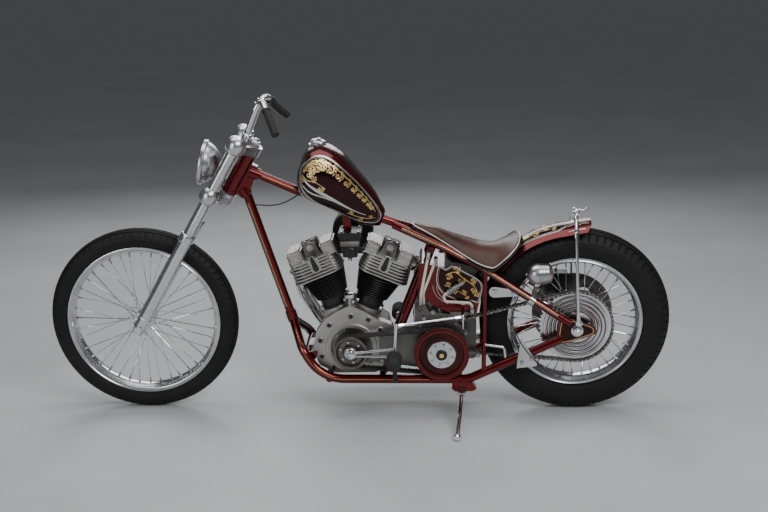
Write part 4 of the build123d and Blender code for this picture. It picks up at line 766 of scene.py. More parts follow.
def on_tank(side):
    """Lays flat (along, share of the height) points on the tank's left or right side."""

    def onto(flat, lift):
        half, low, high = eased(TANK_ROWS, flat[:, 0]).T
        middle, tall = (high + low) / 2, (high - low) / 2
        share = np.clip((flat[:, 1] - middle) / tall, -0.985, 0.985)
        y = half * (1 - np.abs(share) ** TANK_ROUND) ** (1 / TANK_ROUND)
        # The outward direction, from the superellipse's own slope
        ny = (y / half) ** (TANK_ROUND - 1) / half
        nh = np.sign(share) * np.abs(share) ** (TANK_ROUND - 1) / tall
        long = np.hypot(ny, nh) + 1e-12
        return tank_place(flat[:, 0], side * (y + lift * ny / long), flat[:, 1] + lift * nh / long)

    return onto


def tank_height(flat):
    """Turns (along, share of the height) into (along, height)."""
    _, low, high = eased(TANK_ROWS, flat[:, 0]).T
    return np.stack([flat[:, 0], (high + low) / 2 + flat[:, 1] * (high - low) / 2], axis=-1)


PANEL = [
    (327, -0.08), (318, 0.42), (288, 0.72), (238, 0.78), (165, 0.75), (92, 0.72), (32, 0.62), (9, 0.10),
    (26, -0.60), (90, -0.80), (165, -0.83), (238, -0.82), (300, -0.62),
]


def tank_line(count, *spots):
    """A smooth line of count points through (along, share of the height) places on the tank's side."""
    return open_curve(tank_height(np.array(spots)), count)


def tank_artwork(side):
    """The tank's panel: a darker teardrop with a silver edge, a wedge stripe and gold scrolls."""
    onto = on_tank(side)
    edge = closed_curve(tank_height(np.array(PANEL)), 260)
    middle = np.array([190.0, 62.0])
    share = np.linspace(0.0005, 1, 26)[:, None, None]
    field = middle + (edge - middle)[None] * share
    flat = field.reshape(-1, 2)
    points = onto(flat, 0.10).reshape(26, 260, 3)
    ground = skin(points, wrap_columns=True, capped=False)
    silver = [painted(edge, 4.6, onto, closed=True)]
    inner = middle + (edge - middle) * 0.955
    silver.append(painted(inner, 0.9, onto, closed=True))
    wedge = tank_line(90, (324, -0.20), (276, -0.30), (200, -0.40), (120, -0.40), (62, -0.26))
    t = np.linspace(0, 1, 90)
    silver.append(painted(wedge, 2.2 + 11.0 * np.sin(pi * t**0.85) ** 2, onto))
    under = tank_line(70, (320, -0.46), (272, -0.52), (222, -0.49), (176, -0.44))
    silver.append(painted(under, 1.6 + 6.0 * np.sin(pi * np.linspace(0.1, 1, 70)) ** 2, onto))
    upper = tank_line(160, (314, 0.02), (306, 0.36), (274, 0.60), (224, 0.64), (166, 0.60), (112, 0.56),
                      (66, 0.48), (34, 0.26))
    sizes = [(0.02, 18), (0.12, 22), (0.235, 22), (0.34, 18), (0.43, 16), (0.515, 14.5), (0.595, 13),
             (0.67, 11.5),
             (0.74, 10.5), (0.805, 9.5), (0.87, 8.5), (0.93, 7)]
    gold = scrollwork(upper, sizes, onto, broad=7.4, inward=True)
    low = tank_line(50, (318, -0.10), (296, -0.16), (262, -0.10), (228, -0.16))
    gold += scrollwork(low, [(0.12, 11), (0.5, 13), (0.88, 11)], onto, flip=-1, broad=4.6)
    back = tank_line(50, (128, -0.66), (88, -0.56), (54, -0.42), (26, -0.12))
    gold += scrollwork(back, [(0.1, 8), (0.42, 9), (0.78, 6.5)], onto, broad=3.6)
    return ground, merged(silver), merged(gold)


def facing_out(part, side):
    """A strip of the left or right side, its faces turned away from the bike's middle."""
    points, faces = part
    total = 0.0
    for corners in faces:
        a, b, c = (points[corners[:, k]] for k in (0, 1, 2))
        total += np.cross(b - a, c - a)[:, 1].sum()
    return part if total * side > 0 else (points, [c[:, ::-1] for c in faces])


def on_both_sides(artwork):
    """The ground, silver and gold that an artwork draws on each side, with their finishes."""
    finishes = (candy_dark, silver_leaf, gold_leaf)
    return [(facing_out(strokes, side), finish)
            for side in (1, -1) for strokes, finish in zip(artwork(side), finishes)]


def fuel_tank_pieces():
    """The tank's skin and the artwork on both sides."""
    piece("fuel_tank_skin", "frame", [(tank_skin(), candy_red)], ["fuel_tank"], 60)
    art = on_both_sides(tank_artwork)
    piece("fuel_tank_panels", "frame", art[::3], crease=60)
    piece("fuel_tank_leaf", "frame", art[1::3] + art[2::3], crease=60)


fuel_tank_pieces()


# Seat. Columns: X, half width, height along the middle, height at the edge
SEAT_ROWS = [
    (197, 0, 655, 654), (199, 26, 656, 654), (203, 58, 656, 652), (210, 88, 652, 645), (225, 108, 644, 631),
    (255, 122, 632, 604), (300, 125, 622, 574), (340, 118, 626, 584), (391, 98, 641, 608),
    (446, 70, 663, 637),
    (500, 44, 687, 664), (540, 32, 695, 684), (565, 24, 702, 695), (575, 13, 703.5, 699), (578, 0, 704, 700),
]
SEAT_PAN = 15.0


def seat_form():
    """A saddle: sections across it whose height falls from the middle to the edge by |w|^2.4.

    z = edge + (middle - edge)*(1 - |w|^2.4) over the plan's width, then the pan's underside.
    """
    u = np.linspace(0, 1, 120)
    x = 197.3 + 380.4 * (0.5 - 0.5 * np.cos(pi * u))
    half, middle, edge = eased(SEAT_ROWS, x).T
    half = np.maximum(half, 1.0)
    w = np.sin(np.linspace(-pi / 2, pi / 2, 61))
    top_y = half[:, None] * w
    top_z = edge[:, None] + (middle - edge)[:, None] * (1 - np.abs(w) ** 2.4)
    v = np.linspace(1, -1, 25)
    low_y = half[:, None] * v * 0.96
    low_z = (edge - SEAT_PAN * np.minimum(1, half / 24))[:, None] + 0 * v
    y = np.concatenate([top_y, low_y], axis=1)
    z = np.concatenate([top_z, low_z], axis=1)
    return solid(np.stack([x[:, None] + 0 * y, y, z], axis=-1))


def hoop(path, radius, sides=10):
    """A closed round cord along a nearly level line: path + r*(cos t*across + sin t*up)."""
    path = np.asarray(path, float)
    along = np.roll(path, -1, axis=0) - np.roll(path, 1, axis=0)
    along /= np.linalg.norm(along, axis=1)[:, None]
    first = np.cross((0, 0, 1.0), along)
    first /= np.linalg.norm(first, axis=1)[:, None]
    second = np.cross(along, first)
    t = np.linspace(0, 2 * pi, sides, endpoint=False)[None, :, None]
    points = path[:, None] + radius * (np.cos(t) * first[:, None] + np.sin(t) * second[:, None])
    return solid(points, wrap_rows=True)


def seat_edge(inset, lift, count=90):
    """The seat's outline, round both sides, drawn in and lifted by a little."""
    x = 197.6 + 379.8 * (0.5 - 0.5 * np.cos(np.linspace(0, pi, count)))
    half, _, edge = eased(SEAT_ROWS, x).T
    side = np.stack([x, np.maximum(half - inset, 0.6), edge + lift], axis=-1)
    other = side[::-1] * (1, -1, 1)
    return np.concatenate([side, other[1:-1]])


def evened(move, edges, rounds):
    """Each point's travel becomes the mean of its own and its neighbours', again and again."""
    ends = np.concatenate([edges, edges[:, ::-1]])
    share = 1.0 + np.bincount(ends[:, 0], minlength=len(move))
    for _ in range(rounds):
        near = [np.bincount(ends[:, 0], move[ends[:, 1], k], len(move)) for k in range(3)]
        move = (move + np.stack(near, -1)) / share[:, None]
    return move


def stuffed(made, travel, frames=20):
    """Blows the cover up by Blender's cloth over its pan, evens the travel and holds it to a limit."""
    scene = bpy.context.scene
    mesh = made.modifiers.new("even", "REMESH")
    mesh.mode = "VOXEL"
    mesh.voxel_size = 0.0055
    graph = bpy.context.evaluated_depsgraph_get()
    even = bpy.data.meshes.new_from_object(made.evaluated_get(graph))
    made.modifiers.clear()
    made.data = even
    count = len(even.vertices)
    start = np.empty(count * 3)
    even.vertices.foreach_get("co", start)
    start = start.reshape(-1, 3)
    normals = np.empty(count * 3)
    even.vertices.foreach_get("normal", normals)
    held = made.vertex_groups.new(name="pan")
    low = np.flatnonzero(normals.reshape(-1, 3)[:, 2] < -0.3)
    held.add([int(k) for k in low], 1.0, "REPLACE")
    cloth = made.modifiers.new("cloth", "CLOTH")
    cloth.settings.use_pressure = True
    cloth.settings.uniform_pressure_force = 3.0
    cloth.settings.effector_weights.gravity = 0.0
    cloth.settings.vertex_group_mass = "pan"
    cloth.settings.tension_stiffness = 12.0
    cloth.settings.compression_stiffness = 12.0
    cloth.settings.bending_stiffness = 3.0
    cloth.point_cache.frame_start = 1
    cloth.point_cache.frame_end = frames
    for number in range(1, frames + 1):
        scene.frame_set(number)
    graph = bpy.context.evaluated_depsgraph_get()
    blown = made.evaluated_get(graph)
    end = np.empty(count * 3)
    blown.data.vertices.foreach_get("co", end)
    edges = np.empty(len(even.edges) * 2, int)
    even.edges.foreach_get("vertices", edges)
    move = evened(end.reshape(-1, 3) - start, edges.reshape(-1, 2), 60)
    long = np.linalg.norm(move, axis=1)[:, None] + 1e-9
    done = start + move * np.minimum(1, travel / long)
    made.modifiers.clear()
    made.vertex_groups.clear()
    even.vertices.foreach_set("co", done.ravel())
    even.polygons.foreach_set("use_smooth", np.ones(len(even.polygons), bool))
    even.update()
    scene.frame_set(1)
    finer = made.modifiers.new("finer", "SUBSURF")
    finer.levels = 1
    finer.render_levels = 1


def seat_pieces():
    """The leather saddle with its piping and the pan's rolled edge."""
    cover = piece("seat_leather", "frame", [(seat_form(), leather)], ["seat"], 50)
    stuffed(cover, 0.006)
    piping = hoop(seat_edge(-0.5, 0.5), 2.3)
    welt = hoop(seat_edge(0.6, -SEAT_PAN + 2.0), 2.4)
    piece("seat_piping", "frame", [(piping, silver_piping), (welt, rubber)], crease=60)


seat_pieces()


# Rear fender
FENDER_ARC = 124.1
FENDER_R = REAR_TYRE_R + 20.0
FENDER_CENTRE = FENDER_R - FENDER_ARC
FENDER_EDGE = float(np.arcsin(76.0 / FENDER_ARC))
FENDER_START = radians(37.0)
FENDER_END = radians(80.0)
FENDER_RUN = FENDER_R * (FENDER_END - FENDER_START)
FENDER_TAIL = 112.0


def fender_place(run, turn, reach):
    """Upright points on the fender: a run along its crown, a turn round its section, a section radius.

    Up to the end of the arc the section is turned about the axle. Beyond it runs straight on, and its
    end is cut on the tail's slanted line.
    """
    radius = FENDER_CENTRE + reach * np.cos(turn)
    angle = FENDER_START + np.minimum(run, FENDER_RUN) / FENDER_R
    x = radius * np.cos(angle)
    z = radius * np.sin(angle)
    way_x, way_z = -sin(FENDER_END), cos(FENDER_END)
    slant = 38.0 / 52.0
    end_x, end_z = radius * cos(FENDER_END), radius * sin(FENDER_END)
    room = (-52.0 + (372.0 - end_z) * slant - end_x) / (way_x + slant * way_z)
    beyond = np.maximum(run - FENDER_RUN, 0) / FENDER_TAIL * np.minimum(room, FENDER_TAIL)
    return np.stack([x + beyond * way_x, reach * np.sin(turn) + 0 * x, REAR_AXLE_Z + z + beyond * way_z],
                    axis=-1)


def fender_shell():
    """The fender: its crowned outer face, a bead rolled along each edge, and the inner face."""
    tail = np.linspace(FENDER_RUN + 6, FENDER_RUN + FENDER_TAIL, 20)
    run = np.concatenate([np.linspace(0, FENDER_RUN, 60), tail])
    out = np.linspace(-FENDER_EDGE, FENDER_EDGE, 49)
    bead = np.linspace(0.15, 0.85, 5) * pi
    right_turn = FENDER_EDGE + 0.0 * bead
    turn = np.concatenate([out, right_turn, out[::-1] * 0.985, -right_turn])
    reach = np.concatenate([
        np.full(49, FENDER_ARC), FENDER_ARC - 2.6 + 2.6 * np.cos(bead), np.full(49, FENDER_ARC - 5.6),
        FENDER_ARC - 2.6 + 2.6 * np.cos(bead[::-1]),
    ])
    swell = np.concatenate([np.zeros(49), 1.6 * np.sin(bead), np.zeros(49), -1.6 * np.sin(bead)])
    points = fender_place(run[:, None], turn[None], reach[None] + 0 * run[:, None])
    points[..., 1] += swell[None]
    return solid(points)


def on_fender(side):
    """Lays flat (run, height above the edge along the skin) points on the fender's left or right side."""

    def onto(flat, lift):
        turn = side * (FENDER_EDGE - flat[:, 1] / FENDER_ARC)
        return fender_place(flat[:, 0], turn, FENDER_ARC + lift)

    return onto


def fender_artwork(side):
    """A silver stripe that steps up near the strut, a fine one above it, and a gold scroll on a dark ground."""
    onto = on_fender(side)
    low = open_curve([(4, 30), (70, 30), (150, 29), (215, 27), (262, 30), (292, 44), (330, 50), (374, 46)],
                     150)
    silver = [painted(low, 3.4, onto)]
    silver.append(painted(low + (0, 6.5), 1.2, onto))
    rear = open_curve([(300, 16), (330, 20), (366, 18)], 40)
    silver.append(painted(rear, np.linspace(1.0, 4.0, 40), onto))
    stem = open_curve([(28, 50), (78, 56), (130, 50), (180, 56), (232, 50), (262, 58)], 90)
    gold = scrollwork(stem, [(0.04, 10), (0.18, 12), (0.32, 11), (0.46, 12), (0.6, 11), (0.74, 10),
                             (0.88, 8)], onto, broad=4.0)
    rise = np.linspace(33.0, FENDER_EDGE * FENDER_ARC, 20)[None]
    end = 262.0 + 30.0 * np.minimum(1, (rise - 30.0) / 14.0)
    run = 4.0 + (end - 4.0) * np.linspace(0, 1, 50)[:, None]
    flat = np.stack([run, rise + 0 * run], -1).reshape(-1, 2)
    ground = skin(onto(flat, 0.1).reshape(50, 20, 3), wrap_columns=False)
    return ground, merged(silver), merged(gold)


def fender_pieces():
    """The fender's shell with its stripes and scrolls."""
    piece("rear_fender_shell", "frame", [(fender_shell(), candy_red)], ["rear_fender"], 40)
    piece("rear_fender_leaf", "frame", on_both_sides(fender_artwork), crease=60)


fender_pieces()


# Oil tank
OIL_TANK_FACE = 92.2


def on_oil_tank(side):
    """Lays flat (X, Z) points on the oil tank's left or right face."""

    def onto(flat, lift):
        return np.stack([flat[:, 0], side * (OIL_TANK_FACE + lift) + 0 * flat[:, 0], flat[:, 1]], axis=-1)

    return onto


OIL_PANEL = [
    (486, 566), (462, 558), (436, 569), (398, 549), (352, 522), (334, 497), (339, 462), (349, 436),
    (372, 441), (402, 428), (438, 452), (470, 470), (492, 508),
]


def oil_tank_artwork(side):
    """A dark panel with a silver edge, gold scrolls along it and pinstripe arcs in front."""
    onto = on_oil_tank(side)
    edge = closed_curve(OIL_PANEL, 200)
    middle = edge.mean(0)
    field = middle + (edge - middle)[None] * np.linspace(0.0005, 1, 10)[:, None, None]
    points = onto(field.reshape(-1, 2), 0.1).reshape(10, 200, 3)
    ground = skin(points, wrap_columns=True, capped=False)
    silver = [painted(edge, 3.6, onto, closed=True)]
    silver.append(painted(middle + (edge - middle) * 0.94, 0.9, onto, closed=True))
    for shift in (0, 13):
        arc = open_curve([(504 - shift, 520), (496 - shift, 492), (478 - shift, 470), (450 - shift, 452)], 50)
        silver.append(painted(arc + (4, -22), 1.7, onto))
    stem = open_curve([(462, 536), (430, 548), (398, 524), (368, 502), (354, 480), (362, 458)], 90)
    gold = scrollwork(stem, [(0.03, 12), (0.2, 14), (0.38, 13), (0.55, 12), (0.72, 11), (0.88, 9)], onto,
                      flip=-1, broad=4.4)
    low = open_curve([(466, 500), (436, 488), (406, 470), (382, 456)], 60)
    gold += scrollwork(low, [(0.1, 9), (0.4, 10), (0.7, 9), (0.94, 7)], onto, flip=1, broad=3.4)
    return ground, merged(silver), merged(gold)


piece("oil_tank_leaf", "frame", on_both_sides(oil_tank_artwork), crease=60)


# Pinstripes on the frame's tubes
def pinstripe(path, radius, toward, width, shift=0.0):
    """A raised fine line along a tube, on the side that faces a direction, turned off it by an angle."""
    path = resampled(path, 90)
    along = np.gradient(path, axis=0)
    along /= np.linalg.norm(along, axis=1)[:, None]
    face = np.asarray(toward, float)[None] - along * (along @ np.asarray(toward, float))[:, None]
    face /= np.linalg.norm(face, axis=1)[:, None]
    beside = np.cross(along, face)
    half = width / radius / 2
    rows = []
    for turn, lift in ((shift - half, -0.15), (shift - half * 0.8, 0.16), (shift + half * 0.8, 0.16),
                       (shift + half, -0.15)):
        rows.append(path + (radius + lift) * (cos(turn) * face + sin(turn) * beside))
    return skin(np.stack(rows, axis=1), wrap_columns=False)


def facing_from(part, path):
    """A strip on a tube, its faces turned away from the tube's own line."""
    points, faces = part
    line = resampled(path, 400)
    total = 0.0
    for corners in faces:
        a, b, c = (points[corners[:, k]] for k in (0, 1, 2))
        normal = np.cross(b - a, c - a)
        near = np.argmin(((a[:, None] - line[None]) ** 2).sum(-1), axis=1)
        total += np.einsum("ij,ij->", normal, a - line[near])
    return part if total > 0 else (points, [c[:, ::-1] for c in faces])


RAKE = radians(30.0)
NECK_BACK = 50.0
NECK_UP = 660.0
NECK = (WHEELBASE - NECK_BACK * cos(RAKE) - NECK_UP * sin(RAKE),
        FRONT_AXLE_Z - NECK_BACK * sin(RAKE) + NECK_UP * cos(RAKE))
FORK_FOOT = (CRANK[0] + 218.0, 0.0, RAIL_Z + 182.0)
TUBE_R = 16.0
STAY_R = 14.0


def bay(x, y, z):
    """A point given from under the crankshaft at the height of the rails."""
    return (CRANK[0] + x, y, RAIL_Z + z)


def frame_pinstripes():
    """Gold and silver fine lines on the down tube, backbone, cradle and upper stays."""
    top = np.array([NECK[0] - 34.0, 0.0, NECK[1] - 108.0])
    foot = np.array(FORK_FOOT)
    down = np.array([top, foot + (top - foot) * 0.12])
    knee = bay(176, 108, 104)
    corner = bay(108, 129, 0)
    rear = (CLUTCH[0] - 93, 131.0, RAIL_Z)
    loop = rounded_path([FORK_FOOT, knee, corner, rear, from_axle(40, 124.0, -25)], [60, 150, 120])
    spine = rounded_path([(NECK[0] - 82, 0, NECK[1] - 14), bay(186, 0, 665), bay(150, 0, 652)], [400])
    stay = rounded_path([bay(-154, 15, 542), bay(-318, 64, 479), bay(-458, 92, 410),
                         from_axle(24, 124.0, 25)],
                        [260, 260])
    stay = resampled(stay, 200)[10:185]
    loop = resampled(loop, 300)[16:]
    strokes = []
    for side in (1, -1):
        flip = np.array([1, side, 1])
        for path, radius, toward, width, shift, finish in (
            (down, TUBE_R, (0.25, 1.0, 0.1), 2.0, 0.0, gold_leaf),
            (down, TUBE_R, (0.25, 1.0, 0.1), 1.1, 0.32, silver_leaf),
            (loop[:150], TUBE_R, (0, 1.0, 0.25), 1.8, 0.0, gold_leaf),
            (spine, TUBE_R, (0, 1.0, 0.3), 2.0, 0.0, gold_leaf),
            (stay, STAY_R, (0, 1.0, 0.45), 2.2, 0.0, gold_leaf),
            (stay, STAY_R, (0, 1.0, 0.45), 1.2, 0.34, silver_leaf),
        ):
            line = path * flip
            strip = pinstripe(line, radius, np.array(toward) * flip, width, shift * side)
            strokes.append((facing_from(strip, line), finish))
    piece("frame_pinstripes", "frame", strokes, crease=60)


frame_pinstripes()


# Final chain
CHAIN_PITCH = 15.875
CHAIN_Y = 80.0
GEARBOX_SPROCKET = (CLUTCH[0] - 7.0, CLUTCH[1] + 35.0, 48.0)
WHEEL_SPROCKET = (0.0, REAR_AXLE_Z, 130.0)


def round_two(first, second, places):
    """Points and directions at runs along the line that goes round two circles (x, z, radius)."""
    a, b = np.array(first[:2]), np.array(second[:2])
    r1, r2 = first[2], second[2]
    gap = b - a
    long = np.hypot(*gap)
    along = gap / long
    beside = np.array([-along[1], along[0]])
    lean = np.arcsin((r1 - r2) / long)
    run = long * cos(lean)
    top = along * sin(lean) + beside * cos(lean)
    low = along * sin(lean) - beside * cos(lean)
    arc2 = r2 * (pi - 2 * lean)
    arc1 = r1 * (pi + 2 * lean)
    total = 2 * run + arc1 + arc2
    s = np.mod(places, total)
    onward = along * cos(lean) - beside * sin(lean)
    back = -(along * cos(lean) + beside * sin(lean))
    t2 = np.clip((s - run) / arc2, 0, 1) * (pi - 2 * lean)
    t1 = np.clip((s - 2 * run - arc2) / arc1, 0, 1) * (pi + 2 * lean)
    start2 = np.arctan2(top[1], top[0])
    start1 = np.arctan2(low[1], low[0])
    point = np.where(
        (s < run)[:, None], a + top * r1 + onward * s[:, None],
        np.where(
            (s < run + arc2)[:, None],
            b + r2 * np.stack([np.cos(start2 - t2), np.sin(start2 - t2)], -1),
            np.where(
                (s < 2 * run + arc2)[:, None], b + low * r2 + back * (s - run - arc2)[:, None],
                a + r1 * np.stack([np.cos(start1 - t1), np.sin(start1 - t1)], -1),
            ),
        ),
    )
    return point, total


def chain_pieces():
    """The roller chain: waisted plates by turns inside and outside, pins through them, and rollers."""
    _, total = round_two(GEARBOX_SPROCKET, WHEEL_SPROCKET, np.zeros(1))
    count = 2 * int(total / CHAIN_PITCH / 2)
    spots, _ = round_two(GEARBOX_SPROCKET, WHEEL_SPROCKET, np.arange(count) * total / count)
    t = np.linspace(0, 2 * pi, 16, endpoint=False)
    half = CHAIN_PITCH / 2
    outline = np.stack([np.cos(t) * (half + 5.6),
                        np.sin(t) * (5.6 - 1.5 * np.cos(2 * t) ** 2 * (np.abs(np.cos(t)) < 0.6))], -1)
    plates, pins, rollers = [], [], []
    for k in range(count):
        a, b = spots[k], spots[(k + 1) % count]
        middle = (a + b) / 2
        way = (b - a) / np.linalg.norm(b - a)
        turned = np.stack([outline[:, 0] * way[0] - outline[:, 1] * way[1],
                           outline[:, 0] * way[1] + outline[:, 1] * way[0]], -1)
        low, high = (8.0, 9.6) if k % 2 else (9.8, 11.4)
        for side in (1, -1):
            reach = sorted((CHAIN_Y + side * low, CHAIN_Y + side * high))
            plates.append(slab(turned, *reach, origin=(middle[0], 0, middle[1]), bevel=0.3))
            pins.append(lathe([(0, 2.6), (0.8, 2.6), (1.2, 1.8)], (a[0], CHAIN_Y + side * 11.4, a[1]),
                              (0, side, 0), 8))
        away = np.hypot(a[0] - WHEEL_SPROCKET[0], a[1] - WHEEL_SPROCKET[1])
        if away > WHEEL_SPROCKET[2] + 24:
            rollers.append(lathe([(-8, 4.8), (8, 4.8)], (a[0], CHAIN_Y, a[1]), LEFT, 10))
    parts = [(merged(plates), chain_steel), (merged(pins), bolt_steel), (merged(rollers), chain_steel)]
    piece("final_chain_links", "frame", parts, ["final_chain"], 40)


chain_pieces()


# Engine
VEE = radians(22.5)
CASE_FACE = 92.0
HEAD_BASE = 278.0
BARREL_BASE = 150.0
BELT_LOW = 113.0
BELT_HIGH = 151.0
PULLEY_R = 56.0
BELT_REAR_R = 84.0


def vee_point(x, y, z, way=1):
    """A point of a cylinder's own frame, z up its bore from the crankshaft, for the front or rear one."""
    x, y, z = (np.asarray(v, float) for v in (x, y, z))
    return np.stack([CRANK[0] + way * (x * cos(VEE) + z * sin(VEE)), y + 0 * x,
                     CRANK[1] - x * sin(VEE) + z * cos(VEE)], -1)


def vee_way(x, y, z, way=1):
    """A direction of a cylinder's own frame."""
    return vee_point(x, y, z, way) - vee_point(0, 0, 0, way)


def vee_slab(outline, low, high, way, bevel=0.0):
    """An outline of (x, z) points in a cylinder's frame, made thick across the bike."""
    outline = np.asarray(outline, float)
    turned = vee_point(outline[:, 0], 0, outline[:, 1], way)[:, [0, 2]]
    return slab(turned, low, high, bevel=bevel)


def finned_barrel(way):
    """A barrel turned round its bore: a base flange, a plain foot, and fins whose reach grows with height.

    The lowest fin reaches 62 mm from the bore and each millimetre up adds 0.27, which keeps the two
    barrels apart in the vee.
    """
    profile = [(BARREL_BASE, 40), (BARREL_BASE, 57), (BARREL_BASE + 8, 58), (BARREL_BASE + 10, 51),
               (BARREL_BASE + 36, 50)]
    for level in np.arange(BARREL_BASE + 40, HEAD_BASE - 5, 9.4):
        reach = 62.0 + 0.27 * (level - BARREL_BASE - 40)
        profile += [(level, 53), (level + 0.8, reach - 0.8), (level + 1.8, reach),
                    (level + 2.8, reach - 0.6), (level + 4.4, 53)]
    profile += [(HEAD_BASE, 54), (HEAD_BASE, 40)]
    return lathe(profile, vee_point(0, 0, 0, way), vee_way(0, 0, 1, way), 56)


def barrel_pieces():
    """Both finned barrels with their base nuts."""
    parts = []
    for way in (1, -1):
        parts.append((finned_barrel(way), black_iron))
        up = vee_way(0, 0, 1, way)
        for x, y in ((46, 42), (46, -42), (-42, 46), (-42, -46)):
            parts.append((bolt(vee_point(x, y, BARREL_BASE + 7, way), up, 14), bolt_steel))
    piece("finned_barrels", "frame", parts, ["cylinders"])


def teardrop(middle, low, high, wide, narrow, count=20):
    """A slot's outline: a round foot, from which both sides draw in toward its narrow top."""
    t = np.linspace(pi, 2 * pi, count)
    foot = np.stack([middle + wide * np.cos(t), low + wide + wide * np.sin(t)], -1)
    return np.vstack([foot, [(middle + narrow, high), (middle - narrow, high)]])


def head_pieces():
    """On both heads: box lids with their bolts, the plug's teardrop pocket shown by painted shade, and rocker
    nuts.
    """
    metal, dark, nuts = [], [], []
    for way in (1, -1):
        up = vee_way(0, 0, 1, way)
        for middle, width, depth, top in ((58, 60, 106, HEAD_BASE + 112), (-64, 56, 106, HEAD_BASE + 104)):
            for side in (1, -1):
                for shift in (-1, 1):
                    spot = vee_point(middle + shift * (width / 2 - 12), side * (depth / 2 - 12), top - 0.4,
                                     way)
                    nuts.append(bolt(spot, up, 10, 5))
                rim = [(middle - width / 2 + 9, top - 34), (middle + width / 2 - 9, top - 34),
                       (middle + width / 2 - 9, top - 8), (middle - width / 2 + 9, top - 8)]
                reach = sorted((side * (depth / 2 - 0.5), side * (depth / 2 + 2.5)))
                metal.append(vee_slab(rim, *reach, way, 1.2))
                for shift in (-1, 1):
                    spot = vee_point(middle + shift * (width / 2 - 16), side * (depth / 2 + 2.2), top - 21,
                                     way)
                    nuts.append(bolt(spot, (0, side, 0), 8, 4, washer=False))
        for side in (1, -1):
            reach = sorted((side * 66, side * 77.0))
            metal.append(vee_slab(teardrop(-1, HEAD_BASE + 22, HEAD_BASE + 84, 15.5, 10), *reach, way, 1.5))
            # Painted shade: a flat dark teardrop, a little proud of the rim, stands for the shade down in the
            # plug's pocket.
            reach = sorted((side * 70, side * 77.8))
            dark.append(vee_slab(teardrop(-1, HEAD_BASE + 26.5, HEAD_BASE + 83, 11, 5.5), *reach, way))
            for x in (-78, 78):
                nuts.append(bolt(vee_point(x + 8, side * 30, HEAD_BASE + 72, way), up, 12, 7))
        for x in (-20, 12):
            post = vee_point(x, 18, HEAD_BASE + 74 + 49, way)
            nuts.append(bolt(post, up, 11, 6))
        bracket = vee_point(-4, 39, HEAD_BASE + 74 + 32, way)
        metal.append(lathe([(0, 12), (2, 12), (3, 9), (3, 6), (1, 5)], bracket, LEFT, 20))
    parts = [(merged(metal), cast_alloy), (merged(dark), black_iron), (merged(nuts), bolt_steel)]
    piece("head_fasteners", "frame", parts)


def case_pieces():
    """On the case: the stepped ring round the pulley with its toothed arc, black bolts and cover screws."""
    at = from_crank(0, CASE_FACE, 0)
    ring = lathe([(-8, 92), (6, 92), (7.2, 90.6), (7.2, 84), (5, 83), (5, 79.5), (2.5, 79), (2.5, 75.5),
                  (-6, 74), (-8, 74)], at, LEFT, 96, closed=True)
    floor = lathe([(-8.4, 30), (-8.4, 75), (-7.4, 75), (-7, 66), (-7.4, 30)], at, LEFT, 72, closed=True)
    root = np.array(at) - (0, 5, 0)
    teeth = []
    for turn in np.radians(np.arange(20, 76, 7)):
        way = np.array([cos(turn), 0, sin(turn)])
        teeth.append(bar(root + way * 62, root + way * 73, 1.7, 8))
    bolts, rims = [], []
    for x, z in ((0, 119), (78, 85), (112, 27), (108, -35), (66, -77), (-66, -77), (-104, 67), (-62, 107)):
        spot = from_crank(x, CASE_FACE + 4.6, z)
        bolts.append(bolt(spot, LEFT, 11, 6))
        rims.append(lathe([(-5, 11.5), (-0.6, 11.5), (0.4, 10.4), (0.4, 8)], spot, LEFT, 24))
    for x, z in ((72, 47), (30, 99), (-40, 99), (-92, 37), (-70, -39), (30, -59)):
        bolts.append(bolt(from_crank(x, -91.6, z), RIGHT, 10, 6))
    nose = lathe([(0, 62), (6, 60), (8, 56), (8, 40), (11, 38), (11, 16), (14, 14)], from_crank(0, -106, 0),
                 RIGHT, 60)
    filler = from_crank(2, CASE_FACE - 14, 187)
    cap = lathe([(0, 20), (1, 22.5), (10, 22.5), (12, 20), (14, 12), (15, 4)], filler, UP, 30)
    parts = [(merged([ring, *rims, nose]), cast_alloy), (floor, gearbox_alloy),
             (merged(teeth), polished_alloy), (merged(bolts), black_iron), (cap, polished_alloy)]
    piece("case_trim", "frame", parts)


def belt_band():
    """The drive belt: a band round both pulleys whose inner face has a tooth at every second step."""
    count = 332
    first = (CRANK[0], CRANK[1], PULLEY_R)
    second = (CLUTCH[0], CLUTCH[1], BELT_REAR_R)
    _, total = round_two(first, second, np.zeros(1))
    path, _ = round_two(first, second, np.arange(count) * total / count)
    along = np.roll(path, -1, axis=0) - np.roll(path, 1, axis=0)
    along /= np.linalg.norm(along, axis=1)[:, None]
    out = np.stack([-along[:, 1], along[:, 0]], -1)
    out *= np.sign(((path - path.mean(0)) * out).sum())
    depth = np.where(np.arange(count) % 4 < 2, -3.2, -1.2)
    rows = []
    for lift, y in ((3.3, BELT_LOW + 2), (3.3, BELT_HIGH - 2), (depth, BELT_HIGH - 2.6),
                    (depth, BELT_LOW + 2.6)):
        spot = path + out * np.broadcast_to(lift, (count,))[:, None]
        rows.append(np.stack([spot[:, 0], np.full(count, y), spot[:, 1]], -1))
    return solid(np.stack(rows, axis=1), wrap_rows=True)


